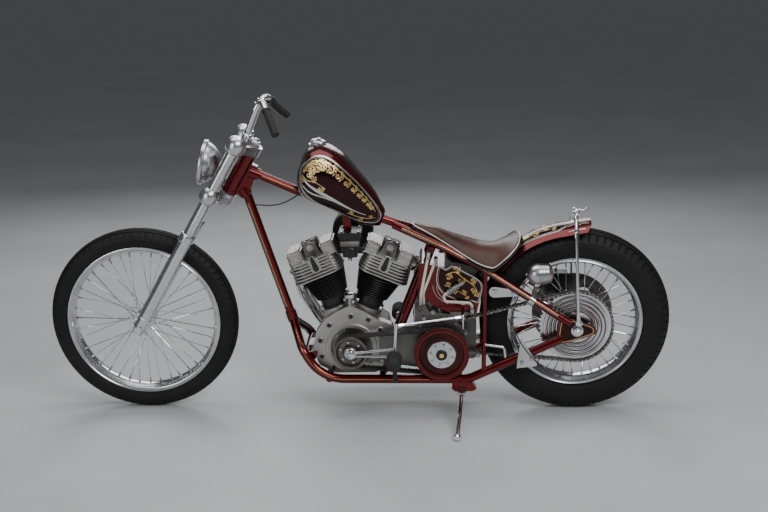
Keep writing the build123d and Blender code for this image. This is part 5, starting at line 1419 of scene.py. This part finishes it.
def drive_pieces():
    """The belt, its dark front pulley, and the clutch: finned basket, silver disc, bolts and nut."""
    piece("drive_belt_toothed", "frame", [(belt_band(), rubber)], ["drive_belt"], 25)
    at = from_crank(0, BELT_HIGH, 0)
    wide = BELT_HIGH - BELT_LOW
    wheel = lathe([(-wide, 26), (-wide, 52), (0, 52), (0, 61), (1, 62), (3, 61), (3, 52), (-5, 49), (-9, 46),
                   (-9, 30), (-2, 26), (3, 25), (3, 20)], at, LEFT, 72)
    shaft = lathe([(2, 21), (8, 21), (9, 19.5), (9, 15), (17, 14.6), (18, 13), (16, 9)], at, LEFT, 40)
    webs = [bolt(spot, LEFT, 8, 4) for spot in ring_of(6, CRANK, 38, BELT_HIGH - 9.4, 0.3)]
    pulley = [(wheel, chain_steel), (merged([shaft, *webs]), polished_alloy)]
    piece("front_pulley_turned", "frame", pulley, ["front_pulley"])
    at = from_clutch(0, BELT_HIGH, 0)
    basket = lathe([(-wide, 30), (-wide, 80), (0, 80.2), (5, 79.6), (6, 77), (6, 62), (9, 60), (10, 50),
                    (10, 30)], at, LEFT, 80)
    inner = ring_of(36, CLUTCH, 60, BELT_HIGH + 6.5)
    outer = ring_of(36, CLUTCH, 78, BELT_HIGH + 5.4)
    fins = [bar(start, end, 2.1, 8, 1.2) for start, end in zip(inner, outer)]
    parts = [(basket, clutch_brown), (merged(fins), clutch_brown)]
    piece("clutch_basket_finned", "frame", parts, ["clutch_basket"])
    disc = lathe([(9, 48), (10, 51), (16, 51.2), (18.4, 49), (18.4, 30), (17, 29), (17, 20), (10, 19)],
                 at, LEFT, 72)
    bolts = [bolt(spot, LEFT, 7.5, 4) for spot in ring_of(8, CLUTCH, 39, BELT_HIGH + 18.2, 0.2)]
    middle = lathe([(10, 20), (20, 20), (21.5, 18), (21.5, 12), (20, 10)], at, LEFT, 40)
    nut = bolt(from_clutch(0, BELT_HIGH + 19, 0), LEFT, 15, 8, washer=False)
    parts = [(disc, polished_alloy), (merged(bolts), bolt_steel), (middle, black_iron), (nut, gold_leaf)]
    piece("clutch_hub_bolted", "frame", parts, ["clutch_hub"])
    stripe = lathe([(15, 93), (15.4, 92.6), (15.4, 90.4), (15, 90)], at, LEFT, 96, closed=True)
    screws = [lathe([(0, 3.4), (1.4, 3.4), (2.2, 2.4), (2.2, 1.2), (1.2, 1)], spot, LEFT, 12)
              for spot in ring_of(6, CLUTCH, 88, BELT_HIGH + 14.6)]
    piece("clutch_cover_trim", "frame", [(stripe, clutch_brown), (merged(screws), black_iron)])


def gearbox_pieces():
    """The gearbox's studs and cable nuts, cooling ribs on its end cover and the selector's lever boss."""
    nuts, ribs = [], []
    for x, z in ((-84, -54), (-84, 58), (-50, 92), (76, 84), (214, 58), (214, -44), (40, -68), (140, 70)):
        nuts.append(bolt(from_clutch(x, 106.8, z), LEFT, 11, 6))
    for x, z in ((62, 115), (-6, 113), (30, 139)):
        nuts.append(bolt(from_clutch(x, 103.8, z), LEFT, 13, 9))
        ribs.append(lathe([(0, 4.5), (16, 4.5), (18, 7), (26, 7), (28, 4)],
                          (CLUTCH[0] + x + 9, 92, CLUTCH[1] + z + 10), (0.3, 0.2, 1), 16))
    for x, z in ((80, -50), (80, 58), (36, 108), (-66, 108), (-116, 68), (-116, -50)):
        nuts.append(bolt(from_clutch(x, -95.8, z), RIGHT, 10, 6))
    for level in (-30, -14, 2, 18, 34):
        ribs.append(bar(from_clutch(-112, -96.5, level),
                        from_clutch(-60, -96.5, level), 3.2, 10))
    lid = lathe([(0, 40), (3, 40), (5, 37), (5, 26), (8, 24), (9, 10)], from_clutch(0, -103.6, 30), RIGHT, 48)
    piece("gearbox_fasteners", "frame", [(merged([*ribs, lid]), gearbox_alloy), (merged(nuts), bolt_steel)])


barrel_pieces()
head_pieces()
case_pieces()
drive_pieces()
gearbox_pieces()


# Rear trim
def limb(path, radius, sides=14):
    """A round bar along a smooth line through knots."""
    return tube(open_curve(path, 40), radius, sides)


def strut_pieces():
    """The fender's chrome struts: an eye on each axle plate, a straight rod, and the clamp over the crown."""
    parts = []
    for side in (1, -1):
        rod = rounded_path([from_axle(-3, 138, 30), from_axle(9, 99, 350), from_axle(5, 50, 384),
                            from_axle(2, 0, 394)], [46, 40])
        half = merged([
            tube(rod, 5.6, 16),
            lathe([(0, 10), (1, 12), (9, 12), (10, 10)], from_axle(-5, 129, 30), LEFT, 28),
            bolt(from_axle(-5, 139, 30), LEFT, 14, 7),
            bar(from_axle(-2.6, 137, 38), from_axle(-1.6, 134, 62), 8, 18),
            bar(from_axle(9, 101, 334), from_axle(9, 97, 352), 9, 18),
            bar(from_axle(9, 99, 343), from_axle(9, 74, 340), 6, 14),
        ])
        parts.append(half if side > 0 else mirrored(half))
    top = REAR_AXLE_Z + 394
    barrel = lathe([(-18, 8), (-17, 12), (-8, 12.5), (-7, 10.5), (7, 10.5), (8, 12.5), (17, 12), (18, 8)],
                   (2, 0, top), LEFT, 30)
    foot = lathe([(0, 17), (3, 17), (5, 8), (26, 7), (30, 9)], from_axle(2, 0, 361), UP, 24)
    lever = limb([(2, 0, top + 8), (-8, 0, top + 13), (-22, 0, top + 10), (-33, 0, top + 14)], 3.4)
    ball = lathe([(-6, 1.5), (-4.4, 4.4), (0, 6), (4.4, 4.4), (6, 1.5)], (-35, 0, top + 15), (1, 0, 0), 16)
    stub = limb([(4, 0, top + 8), (9, 0, top + 15), (11, 0, top + 20)], 3.6)
    piece("fender_struts_chromed", "frame", [(merged([*parts, barrel, foot, lever, ball, stub]), chrome)],
          ["fender_struts"])


def tail_lamp_pieces():
    """The tail lamp: a bullet with turned ribs and a red lens behind, on a stem clamped to the stay."""
    rear = np.array([98.0, 122.0, REAR_AXLE_Z + 212])
    way = np.array([0.985, 0.0, -0.06])
    profile = [(-6, 18), (-6, 24), (-3, 28), (0, 31), (4, 34)]
    for start in (6, 13, 20, 27, 34):
        swell = 34 + start * 0.11
        profile += [(start, swell - 2.0), (start + 1.8, swell), (start + 4.2, swell + 0.4),
                    (start + 6, swell - 1.6)]
    profile += [(41 + 41 * sin(turn), 38 * cos(turn)) for turn in np.linspace(0.02, 1.54, 16)]
    shell = lathe(profile, rear, way, 56)
    lens = lathe([(-5, 20), (-7, 19), (-9, 15), (-10, 9), (-10.4, 2)], rear, way, 40)
    tip = lathe([(0, 5), (4, 5), (6, 3), (8, 1.5)], rear + way * 80, way, 16)
    stem = limb([from_axle(142, 122, 180), from_axle(146, 121, 162), from_axle(152, 118, 140),
                 from_axle(158, 113, 112)], 8)
    collar = lathe([(0, 11), (2, 13), (12, 13), (14, 10)], from_axle(143, 122, 166), (0.1, 0, 1), 28)
    clamp = lathe([(-11, 16), (-10, 18.5), (10, 18.5), (11, 16)], from_axle(160, 111, 108),
                  (0.83, -0.1, 0.53), 32)
    screw = bolt(from_axle(160, 128, 106), LEFT, 10, 6)
    parts = [(merged([shell, tip]), brushed_alloy), (merged([collar, clamp]), chrome),
             (stem, chain_steel), (screw, bolt_steel), (lens, lens_red)]
    piece("tail_lamp_ribbed", "frame", parts, ["tail_lamp"], 25)


def ribbon(path, half_thick, low, high):
    """A bent strip: a side line of (x, z) points with a thickness along its normal and a width across."""
    path = np.asarray(path, float)
    along = np.gradient(path, axis=0)
    along /= np.linalg.norm(along, axis=1)[:, None]
    out = np.stack([-along[:, 1], along[:, 0]], -1)
    rows = []
    for lift, y in ((1, low + 1), (1, high - 1), (0.4, high), (-0.4, high), (-1, high - 1), (-1, low + 1),
                    (-0.4, low), (0.4, low)):
        spot = path + out * lift * half_thick
        rows.append(np.stack([spot[:, 0], np.full(len(path), y), spot[:, 1]], -1))
    return solid(np.stack(rows, axis=1))


def hull_of_two(first, second, count=40):
    """The outline round two circles (x, z, radius), as a bead of points by support directions."""
    t = np.linspace(0, 2 * pi, count, endpoint=False)
    way = np.stack([np.cos(t), np.sin(t)], -1)
    a, b = np.array(first[:2]), np.array(second[:2])
    reach_a = way @ a + first[2]
    reach_b = way @ b + second[2]
    return np.where((reach_a > reach_b)[:, None], a + way * first[2], b + way * second[2])


def chain_guard_pieces():
    """The slim bent blade beside the tyre, its bolted plate, and the tear-shaped arm on the stay."""
    blade = open_curve([(243, REAR_AXLE_Z + 52), (216, REAR_AXLE_Z - 4), (189, REAR_AXLE_Z - 53),
                        (156, REAR_AXLE_Z - 96),
                        (120, REAR_AXLE_Z - 132)], 50)
    strip = ribbon(blade, 1.6, 137, 152)
    corners = [(198, -26), (190, -32), (150, -98), (141, -119), (147, -127), (200, -133), (211, -127)]
    outline = closed_curve([(x, REAR_AXLE_Z + z) for x, z in corners], 60)
    plate_ = slab(outline, 143.5, 146.5, bevel=0.8)
    nuts = [bolt(from_axle(194, 146.4, -113), LEFT, 12, 6), bolt(from_axle(160, 146.4, -98), LEFT, 12, 6)]
    lugs = [bar(from_axle(194, 128, -113), from_axle(194, 144, -113), 7, 16),
            bar(from_axle(172, 128, -96), from_axle(172, 144, -96), 7, 16)]
    tear = slab(hull_of_two((291, REAR_AXLE_Z + 137, 20), (214, REAR_AXLE_Z + 133, 12), 48), 100, 107,
                bevel=1.6)
    knob = lathe([(0, 12), (3, 12), (4, 10), (4, 5), (2.5, 4)], from_axle(291, 106.8, 137), LEFT, 28)
    pin = bolt(from_axle(226, 106.8, 134), LEFT, 11, 6)
    parts = [(merged([strip, *lugs]), chain_steel), (merged([plate_, tear, knob]), polished_alloy),
             (merged([*nuts, pin]), bolt_steel)]
    piece("chain_guard_blade", "frame", parts, ["chain_guard"])


AXLE_PLATE = [(60, 47), (20, 43), (-34, 25), (-64, 10), (-64, -10), (-30, -25), (46, -49), (72, -40)]


def axle_pieces():
    """Both axle ends: chamfered nuts with washers, and a gold line round each plate over a dark field."""
    nuts, lines, fields = [], [], []
    for side in (1, -1):
        nuts.append(lathe([(0, 21), (2.4, 21), (2.4, 16)], (0, side * 128.9, REAR_AXLE_Z), (0, side, 0), 32))
        nuts.append(bolt((0, side * 131, REAR_AXLE_Z), (0, side, 0), 32, 13, washer=False))
        nuts.append(lathe([(0, 8), (4, 8), (5.5, 6)], (0, side * 143.8, REAR_AXLE_Z), (0, side, 0), 20))

        def onto(flat, lift, side=side):
            return np.stack([flat[:, 0], side * (128.55 + lift) + 0 * flat[:, 0], REAR_AXLE_Z + flat[:, 1]],
                            -1)

        edge = closed_curve(AXLE_PLATE, 120) * 0.84
        lines.append(facing_out(painted(edge, 2.0, onto, closed=True), side))
        field = (edge * 0.97)[None] * np.linspace(0.3, 1, 6)[:, None, None]
        points = onto(field.reshape(-1, 2), 0.1).reshape(6, 120, 3)
        fields.append(facing_out(skin(points, capped=False), side))
    piece("axle_plate_trim", "frame", [(merged(fields), candy_dark), (merged(lines), gold_leaf),
          (merged(nuts), chrome)], crease=40)


def brake_pieces():
    """The turned rings of the wheel cover, the disc's drillings as dark marks of painted shade and its bolts,
    and the caliper's bolts.
    """
    at = (0.0, 0.0, REAR_AXLE_Z)
    dish = lathe([(90, 38), (91.4, 38), (91.4, 114), (90, 114.4)], at, LEFT, 120, closed=True)
    turned = [lathe([(90.6, 36), (94.6, 37), (94.6, 51), (91, 52)], at, LEFT, 96, closed=True)]
    for radius in (115, 101, 87, 73):
        turned.append(lathe([(91, radius - 8), (93.4, radius - 7.4), (94.6, radius - 4),
                             (93.4, radius - 0.8), (91, radius)], at,
                            (0, 1, 0), 120, closed=True))
    bolts = []
    for turn in np.arange(5) * 2 * pi / 5 + 0.35:
        bolts.append(bolt((46 * cos(turn), 94.2, REAR_AXLE_Z + 46 * sin(turn)), LEFT, 9, 5, washer=False))
    piece("wheel_cover_ringed", "rear_wheel", [(dish, chain_steel), (merged(turned), polished_alloy),
          (merged(bolts), bolt_steel)], crease=24)
    # Painted shade: the holes are not cut; a small dark disc on each face of the disc stands for the shade
    # inside each drilling.
    marks = []
    for ring, radius in enumerate((112, 123, 134)):
        for turn in np.arange(30) * 2 * pi / 30 + ring * 0.07:
            for side, face in ((1, -75.5), (-1, -80.5)):
                spot = (radius * cos(turn), face - side * 0.2, REAR_AXLE_Z + radius * sin(turn))
                marks.append(lathe([(0, 3.4), (0.45, 3.4), (0.45, 2.6), (0.1, 2.4)], spot, (0, side, 0), 10))
    piece("brake_disc_hole_shade", "rear_wheel", [(merged(marks), black_iron)])
    parts = []
    for x, z in ((34, 98), (82, 98), (34, 140), (82, 140)):
        parts.append(bolt((x, -102.2, REAR_AXLE_Z + z), RIGHT, 12, 8))
    pot = lathe([(0, 24), (6, 24), (9, 21), (10, 12), (12, 6)], from_axle(58, -101.6, 119), RIGHT, 36)
    parts.append(bar(from_axle(60, -96, 151), from_axle(60, -96, 162), 5, 14))
    piece("caliper_bolts", "frame", [(merged([*parts, pot]), bolt_steel)])


strut_pieces()
tail_lamp_pieces()
chain_guard_pieces()
axle_pieces()
brake_pieces()


# Controls, steering and lamp
def fork_place(forward, across_, along):
    """An upright point from the fork's own frame: forward, across and up along its legs."""
    lean = radians(30.0)
    return np.array([WHEELBASE + forward * cos(lean) - along * sin(lean), across_,
                     FRONT_AXLE_Z + forward * sin(lean) + along * cos(lean)])


def peg_pieces():
    """Both pegs: rubber with raised rings round it and a rounded end, on a chrome collar."""
    at = (CRANK[0] - 158.0, 0.0, RAIL_Z + 118.0)
    profile = [(212, 14), (213, 22), (217, 24.5)]
    for start in np.arange(220, 288, 8.5):
        profile += [(start, 23.4), (start + 1.2, 26.4), (start + 4.6, 26.8), (start + 5.8, 23.6)]
    profile += [(291, 25), (296, 22), (300, 14), (301, 4)]
    parts = []
    for side in (1, -1):
        parts.append((lathe([(side * y, r) for y, r in profile], at, LEFT, 36), rubber))
        collar = [(side * y, r) for y, r in ((200, 9), (200, 15), (210, 16), (212, 14))]
        parts.append((lathe(collar, at, LEFT, 30), chrome))
    piece("foot_pegs_ringed", "frame", parts, ["foot_pegs"])


def rod_ends():
    """Ball joints with lock nuts at both ends of the shift rod, and a nut on the lever."""
    front = np.array([CRANK[0] - 165.0, 200.0, RAIL_Z + 230.0])
    rear = np.array([CLUTCH[0] - 75.0, 150.0, CLUTCH[1] + 137.0])
    way = (rear - front) / np.linalg.norm(rear - front)
    parts = []
    for spot, lead in ((front, way), (rear, -way)):
        parts.append(lathe([(-9, 3), (-6.5, 7), (0, 9), (6.5, 7), (9, 3)], spot, LEFT, 20))
        parts.append(bar(spot + lead * 8, spot + lead * 30, 6.2, 6, 1.0))
        parts.append(bolt(spot + (0, 8, 0), LEFT, 10, 5))
    joint = np.array([CRANK[0] - 4.0, 162.0, CRANK[1]])
    parts.append(lathe([(-4, 9), (-3, 11), (12, 11), (13, 8)], joint, LEFT, 24))
    piece("shift_rod_ends", "frame", [(merged(parts), chrome)])


def grip_pieces():
    """Slim ribbed grips with a flange at each end."""
    start = np.array([5.0, 38.0, 945.0])
    end = np.array([-98.0, 165.0, 889.0])
    run = end - start
    long = np.linalg.norm(run)
    first = start + run * 0.36
    a, b = fork_place(*first), fork_place(*end)
    axis = (b - a) / np.linalg.norm(b - a)
    reach = long * 0.64
    profile = [(0, 11.2), (0, 14), (1.5, 15), (4, 15), (5.5, 13), (8, 12.2)]
    for spot in np.arange(10, reach - 10, 6.4):
        profile += [(spot, 11.8), (spot + 1.0, 12.8), (spot + 3.6, 12.9), (spot + 4.8, 11.9)]
    profile += [(reach - 3, 12.4), (reach - 1, 14), (reach + 3, 14.4), (reach + 6, 13), (reach + 7.5, 8),
                (reach + 8, 3)]
    grip = lathe(profile, a, axis, 32)
    piece("grips_ribbed", "fork", [(grip, rubber), (mirrored(grip), rubber)], ["grips"])


def handlebar_pieces():
    """The two-piece bars: risers that turn back to the grips, a cross tube, feet, perch and brake lever."""
    foot, start, end = np.array([-16.0, 34.0, 777.0]), np.array([5.0, 38.0, 945.0]), np.array([-98.0, 165.0,
                                                                                               889.0])
    line = [fork_place(*spot) for spot in (foot, start, end)]
    half = tube(rounded_path(line, [26], 2.5), 11, 22)
    up = fork_place(0, 0, 1) - fork_place(0, 0, 0)
    base = line[0]
    half = merged([
        half,
        lathe([(0, 18), (1, 20), (4, 20), (6, 16), (18, 15.4), (20, 17), (27, 17), (29, 14), (31, 11.4)],
              base, up, 32),
        bolt(base + up * 12 + np.array([0, 15.0, 0]), LEFT, 10, 6),
        lathe([(-12, 11.2), (-11, 14.2), (11, 14.2), (12, 11.2)], fork_place(0.5, 37.1, 909.0), up, 24),
    ])
    cross = bar(fork_place(0.5, -38, 909), fork_place(0.5, 38, 909), 8.4, 20)
    run = (end - start) / np.linalg.norm(end - start)
    perch_at = start + (end - start) * 0.25
    axis = fork_place(*(perch_at + run)) - fork_place(*perch_at)
    perch = lathe([(0, 11.2), (1, 15), (17, 15), (18, 11.2)], fork_place(*perch_at), axis, 28)
    pivot = perch_at + run * 9 + np.array([19.0, 3.0, -9.0])
    body = merged([perch, bar(fork_place(*(perch_at + run * 9)), fork_place(*pivot), 8, 18)])
    blade = [fork_place(*spot) for spot in (pivot, pivot + run * 30 + (4, 0, -3), end + (18, 4, -13),
                                            end + (12, 6, -10))]
    lever = merged([limb(blade, np.interp(np.arange(40), (0, 20, 39), (5.6, 4.4, 3.6))),
                    lathe([(-5, 2), (-3, 5), (0, 6), (3, 5), (5, 2)], blade[-1], axis, 16)])
    piece("handlebar_bent", "fork", [(half, chrome), (mirrored(half), chrome), (cross, chrome),
          (mirrored(body), black_iron), (mirrored(lever), gearbox_alloy)], ["handlebar"])


def tree_pieces():
    """Fork caps, round clamps where both trees hold the tubes, collars on the legs and axle pinch bolts."""
    up = fork_place(0, 0, 1) - fork_place(0, 0, 0)
    back = fork_place(-1, 0, 0) - fork_place(0, 0, 0)
    parts, balls = [], []
    for side in (1, -1):
        y = side * 95.0
        parts.append(lathe([(788, 20.6), (790, 22), (792, 22), (793, 18)], fork_place(0, y, 0), up, 36))
        parts.append(bolt(fork_place(0, y, 790), up, 24, 7, washer=False))
        balls.append(lathe([(391, 21.2), (391, 27.6), (395, 28), (400, 26), (403, 21.2)],
                           fork_place(0, y, 0), up, 40, closed=True))
        for along in (40, 366, 372):
            parts.append(lathe([(along, 24.6), (along + 1, 26.4), (along + 3, 26.4), (along + 4, 24.6)],
                               fork_place(0, y, 0), up, 44))
        for along, reach in ((560, 34.5), (766, 35.5)):
            round_clamp = [(along + k * 30,
                            22 + (reach - 22) * (1 - abs(k) ** 2.6)) for k in np.linspace(-1, 1, 13)]
            balls.append(lathe(round_clamp, fork_place(0, y, 0), up, 44))
        parts.append(bolt(fork_place(24, y, 18), -back, 10, 6))
        parts.append(bolt(fork_place(24, y, -10), -back, 10, 6))
    stem = fork_place(-50, 0, 779.5)
    parts.append(bolt(stem, up, 34, 12))
    parts.append(lathe([(11, 12), (17, 11), (21, 7), (22, 2)], stem, up, 28))
    piece("fork_fasteners", "fork", [(merged(parts), chrome), (merged(balls), brushed_alloy)])


def headlamp_pieces():
    """The headlamp: a bowl with a beaded rim, a mirror inside, a bulb, a domed lens and its stalk."""
    tilt = radians(11.0)
    way = np.array([cos(tilt), 0.0, sin(tilt)])
    front = fork_place(55.0, 0.0, 639.0) + way * 26.0
    bowl = lathe([(-67, 3), (-66, 16), (-60, 32), (-49, 49), (-34, 63), (-18, 72), (-13, 74), (-12, 78),
                  (-9, 80.5), (-3, 81),
                  (3, 79.5), (6, 76), (6, 70.5), (3, 69), (-10, 65), (-24, 56), (-36, 42), (-44, 24),
                  (-47, 8)], front, way, 80)
    bulb = lathe([(-46, 7), (-30, 7), (-26, 5), (-20, 2)], front, way, 20)
    lens = lathe([(13.4, 0.5), (12.8, 20), (10.4, 40), (6.6, 57), (2.6, 68), (4.2, 70), (6.4, 69.4),
                  (9.6, 58), (13.2, 41),
                  (15.8, 20), (16.6, 0.5)], front, way, 72)
    foot = fork_place(-4.0, 0.0, 563.0)
    stalk = merged([bar(foot, foot + np.array([0.0, 0, 52]), 9, 24),
                    lathe([(0, 19), (3, 19), (5, 12), (12, 11)], foot, UP, 28)])
    screws = []
    for turn in (0.0, 2.1, 4.2):
        _, e1, e2 = across(way)
        spot = front + way * 5.4 + (cos(turn) * e1 + sin(turn) * e2) * 74
        screws.append(lathe([(0, 3.2), (1.4, 3.2), (2, 2.4), (2, 1)], spot, way, 12))
    piece("headlamp_bowl", "fork", [(bowl, brushed_alloy), (merged([bulb, *screws]), bolt_steel),
                                    (stalk, chrome)],
          ["headlamp"], 30)
    piece("headlamp_glass", "fork", [(lens, glass)], ["headlamp_lens"], 50)


def cap_pieces():
    """The tank's domed filler cap, with a knurled skirt and a vent knob."""
    at = (CRANK[0] + 106.0, 0.0, RAIL_Z + 822.0)
    way = (-sin(radians(9.75)), 0, cos(radians(9.75)))
    cap = lathe([(-13, 19), (7, 19), (8, 25), (9, 27.4), (20, 27.8), (23, 26), (26, 21), (28, 14), (29, 8)],
                at, way, 48)
    knob = lathe([(28, 7), (32, 7.5), (34, 5), (35, 1.5)], at, way, 20)
    axis, e1, e2 = across(way)
    ribs = []
    for turn in np.arange(24) * pi / 12:
        foot = np.array(at) + (cos(turn) * e1 + sin(turn) * e2) * 27.4
        ribs.append(bar(foot + axis * 10, foot + axis * 19, 1.3, 6, 0.4))
    ring = lathe([(2, 24), (3, 33), (5, 34), (8, 33), (9, 24)], at, way, 48)
    piece("fuel_cap_knurled", "frame", [(merged([cap, knob, ring, *ribs]), polished_alloy)],
          ["fuel_cap"])


def intake_pieces():
    """On the intake, between the heads: a lid with screws, a round float chamber and its drain plug."""
    face = 44.0
    lid = [(-42, 505), (42, 505), (44, 514), (40, 521), (-40, 521), (-44, 514)]
    outline = [(CRANK[0] + x, RAIL_Z + z) for x, z in lid]
    top = slab(outline, -43, 47, bevel=1.5)
    screws = [bolt(bay(x, y, 520), UP, 8, 5, washer=False) for x in (-30, 30) for y in (-32, 36)]
    chamber = bar(bay(-35, face - 2, 481), bay(35, face - 2, 481), 14, 36, 3.0)
    web = lathe([(0, 21), (7, 20), (9, 17), (9, 8), (12, 7), (12, 3)], bay(0, face - 1, 449), LEFT, 36)
    drain = bolt(bay(0, face + 4, 429), (0, 0, -1), 12, 8)
    sides = [lathe([(-2, 16.2), (0, 19), (5, 19), (7, 16.2)], bay(way * 49, 0, 448), (1, 0, 0), 36,
                   closed=True)
             for way in (1, -1)]
    piece("intake_details", "frame", [(merged([top, web]), black_iron), (chamber, gearbox_alloy),
          (merged([*screws, drain, *sides]), bolt_steel)])


def air_cleaner_pieces():
    """The air cleaner's ringed chrome cover with its screws, on the right."""
    at = (CRANK[0], 0.0, RAIL_Z + 482.0)
    rings = [(-141, 40), (-141, 75), (-146, 76), (-151, 74), (-153, 68), (-153, 60), (-151, 58), (-151, 50),
             (-153.5, 48),
             (-153.5, 30), (-152, 28), (-152, 22)]
    knob = lathe([(-150, 12), (-156, 12), (-158, 9), (-158.6, 3)], at, LEFT, 30)
    screws = []
    for turn in np.arange(6) * pi / 3 + 0.5:
        spot = (at[0] + 54 * cos(turn), -150.8, at[2] + 54 * sin(turn))
        screws.append(lathe([(0, 3.6), (1.6, 3.6), (2.6, 2.4)], spot, RIGHT, 12))
    piece("air_cleaner_cover", "frame", [(lathe(rings, at, LEFT, 72), chrome),
          (merged([knob, *screws]), bolt_steel)])


def hose_clamps():
    """Band clamps where the hoses leave their fittings."""
    parts = []
    for spot, way in (
        (bay(-279, 106, 448), (-0.02, 0, 1)), (bay(-304, 108, 426), (-0.02, 0, 1)),
        ((CRANK[0] - 250, 89, CLUTCH[1] + 168), UP), ((CRANK[0] - 262, 85, CLUTCH[1] + 168), UP),
        (from_clutch(-108, 105, 156), UP),
    ):
        parts.append(lathe([(-5, 5.2), (-4.6, 6.9), (4.6, 6.9), (5, 5.2)], spot, way, 20))
    piece("oil_line_clamps", "frame", [(merged(parts), bolt_steel)])


peg_pieces()
rod_ends()
grip_pieces()
handlebar_pieces()
tree_pieces()
headlamp_pieces()
cap_pieces()
hose_clamps()
intake_pieces()
air_cleaner_pieces()


# Floor, light and camera
def studio():
    """The pale floor, a dim sky and four soft lights."""
    n = 40
    u, v = np.meshgrid(np.linspace(-90, 90, n), np.linspace(-90, 90, n), indexing="ij")
    verts = np.stack([u, v, 0 * u], axis=-1).reshape(-1, 3)
    k = np.arange(n * n).reshape(n, n)
    faces = np.stack([k[:-1, :-1], k[1:, :-1], k[1:, 1:], k[:-1, 1:]], axis=-1).reshape(-1, 4)
    mesh = bpy.data.meshes.new("floor")
    mesh.from_pydata(verts.tolist(), [], faces.tolist())
    floor = bpy.data.objects.new("floor", mesh)
    mesh.materials.append(pale_floor)
    bpy.context.scene.collection.objects.link(floor)
    world = bpy.data.worlds.new("studio")
    world.use_nodes = True
    world.node_tree.nodes["Background"].inputs["Color"].default_value = (0.80, 0.82, 0.85, 1)
    world.node_tree.nodes["Background"].inputs["Strength"].default_value = 0.12
    bpy.context.scene.world = world
    # Columns: name, place, aim, width, height, watts
    lights = [
        ("key", (-1.8, 3.2, 3.2), (0.0, 0.0, 0.5), 2.8, 1.5, 115),
        ("fill", (2.8, 3.6, 1.6), (0.1, 0.0, 0.5), 1.6, 2.4, 40),
        ("top", (0.0, 0.0, 3.4), (0.0, 0.0, 0.0), 3.8, 1.8, 58),
        ("back", (0.4, -3.6, 2.6), (0.0, 0.0, 0.5), 3.2, 1.6, 62),
    ]
    for name, spot, aim, width, height, watts in lights:
        data = bpy.data.lights.new(name, "AREA")
        data.shape = "RECTANGLE"
        data.size = width
        data.size_y = height
        data.energy = watts
        lamp = bpy.data.objects.new(name, data)
        way = Vector(aim) - Vector(spot)
        lamp.matrix_world = Matrix.Translation(spot) @ way.to_track_quat("-Z", "Y").to_matrix().to_4x4()
        bpy.context.scene.collection.objects.link(lamp)


EYE = (0.4640, 4.5313, 1.5963)


def camera():
    """The photograph's camera: its place, its yaw, pitch and roll, and its lens."""
    yaw, pitch, roll = radians(2.786), radians(12.80), radians(-0.833)
    turn = Matrix.Rotation(yaw, 3, "Z")
    ahead = turn @ Vector((0, -1, 0))
    right = turn @ Vector((-1, 0, 0))
    up = Vector((0, 0, 1))
    look = ahead * cos(pitch) - up * sin(pitch)
    rise = up * cos(pitch) + ahead * sin(pitch)
    side = right * cos(roll) + rise * sin(roll)
    top = rise * cos(roll) - right * sin(roll)
    data = bpy.data.cameras.new("camera")
    data.lens = 60.198
    data.sensor_width = 36.0
    eye = bpy.data.objects.new("camera", data)
    axes = Matrix((side, top, -look)).transposed().to_4x4()
    spot = (EYE[0] + SHIFT_X / 1000, EYE[1] + SHIFT_Y / 1000, EYE[2])
    eye.matrix_world = Matrix.Translation(spot) @ axes
    bpy.context.scene.collection.objects.link(eye)
    bpy.context.scene.camera = eye


studio()
camera()
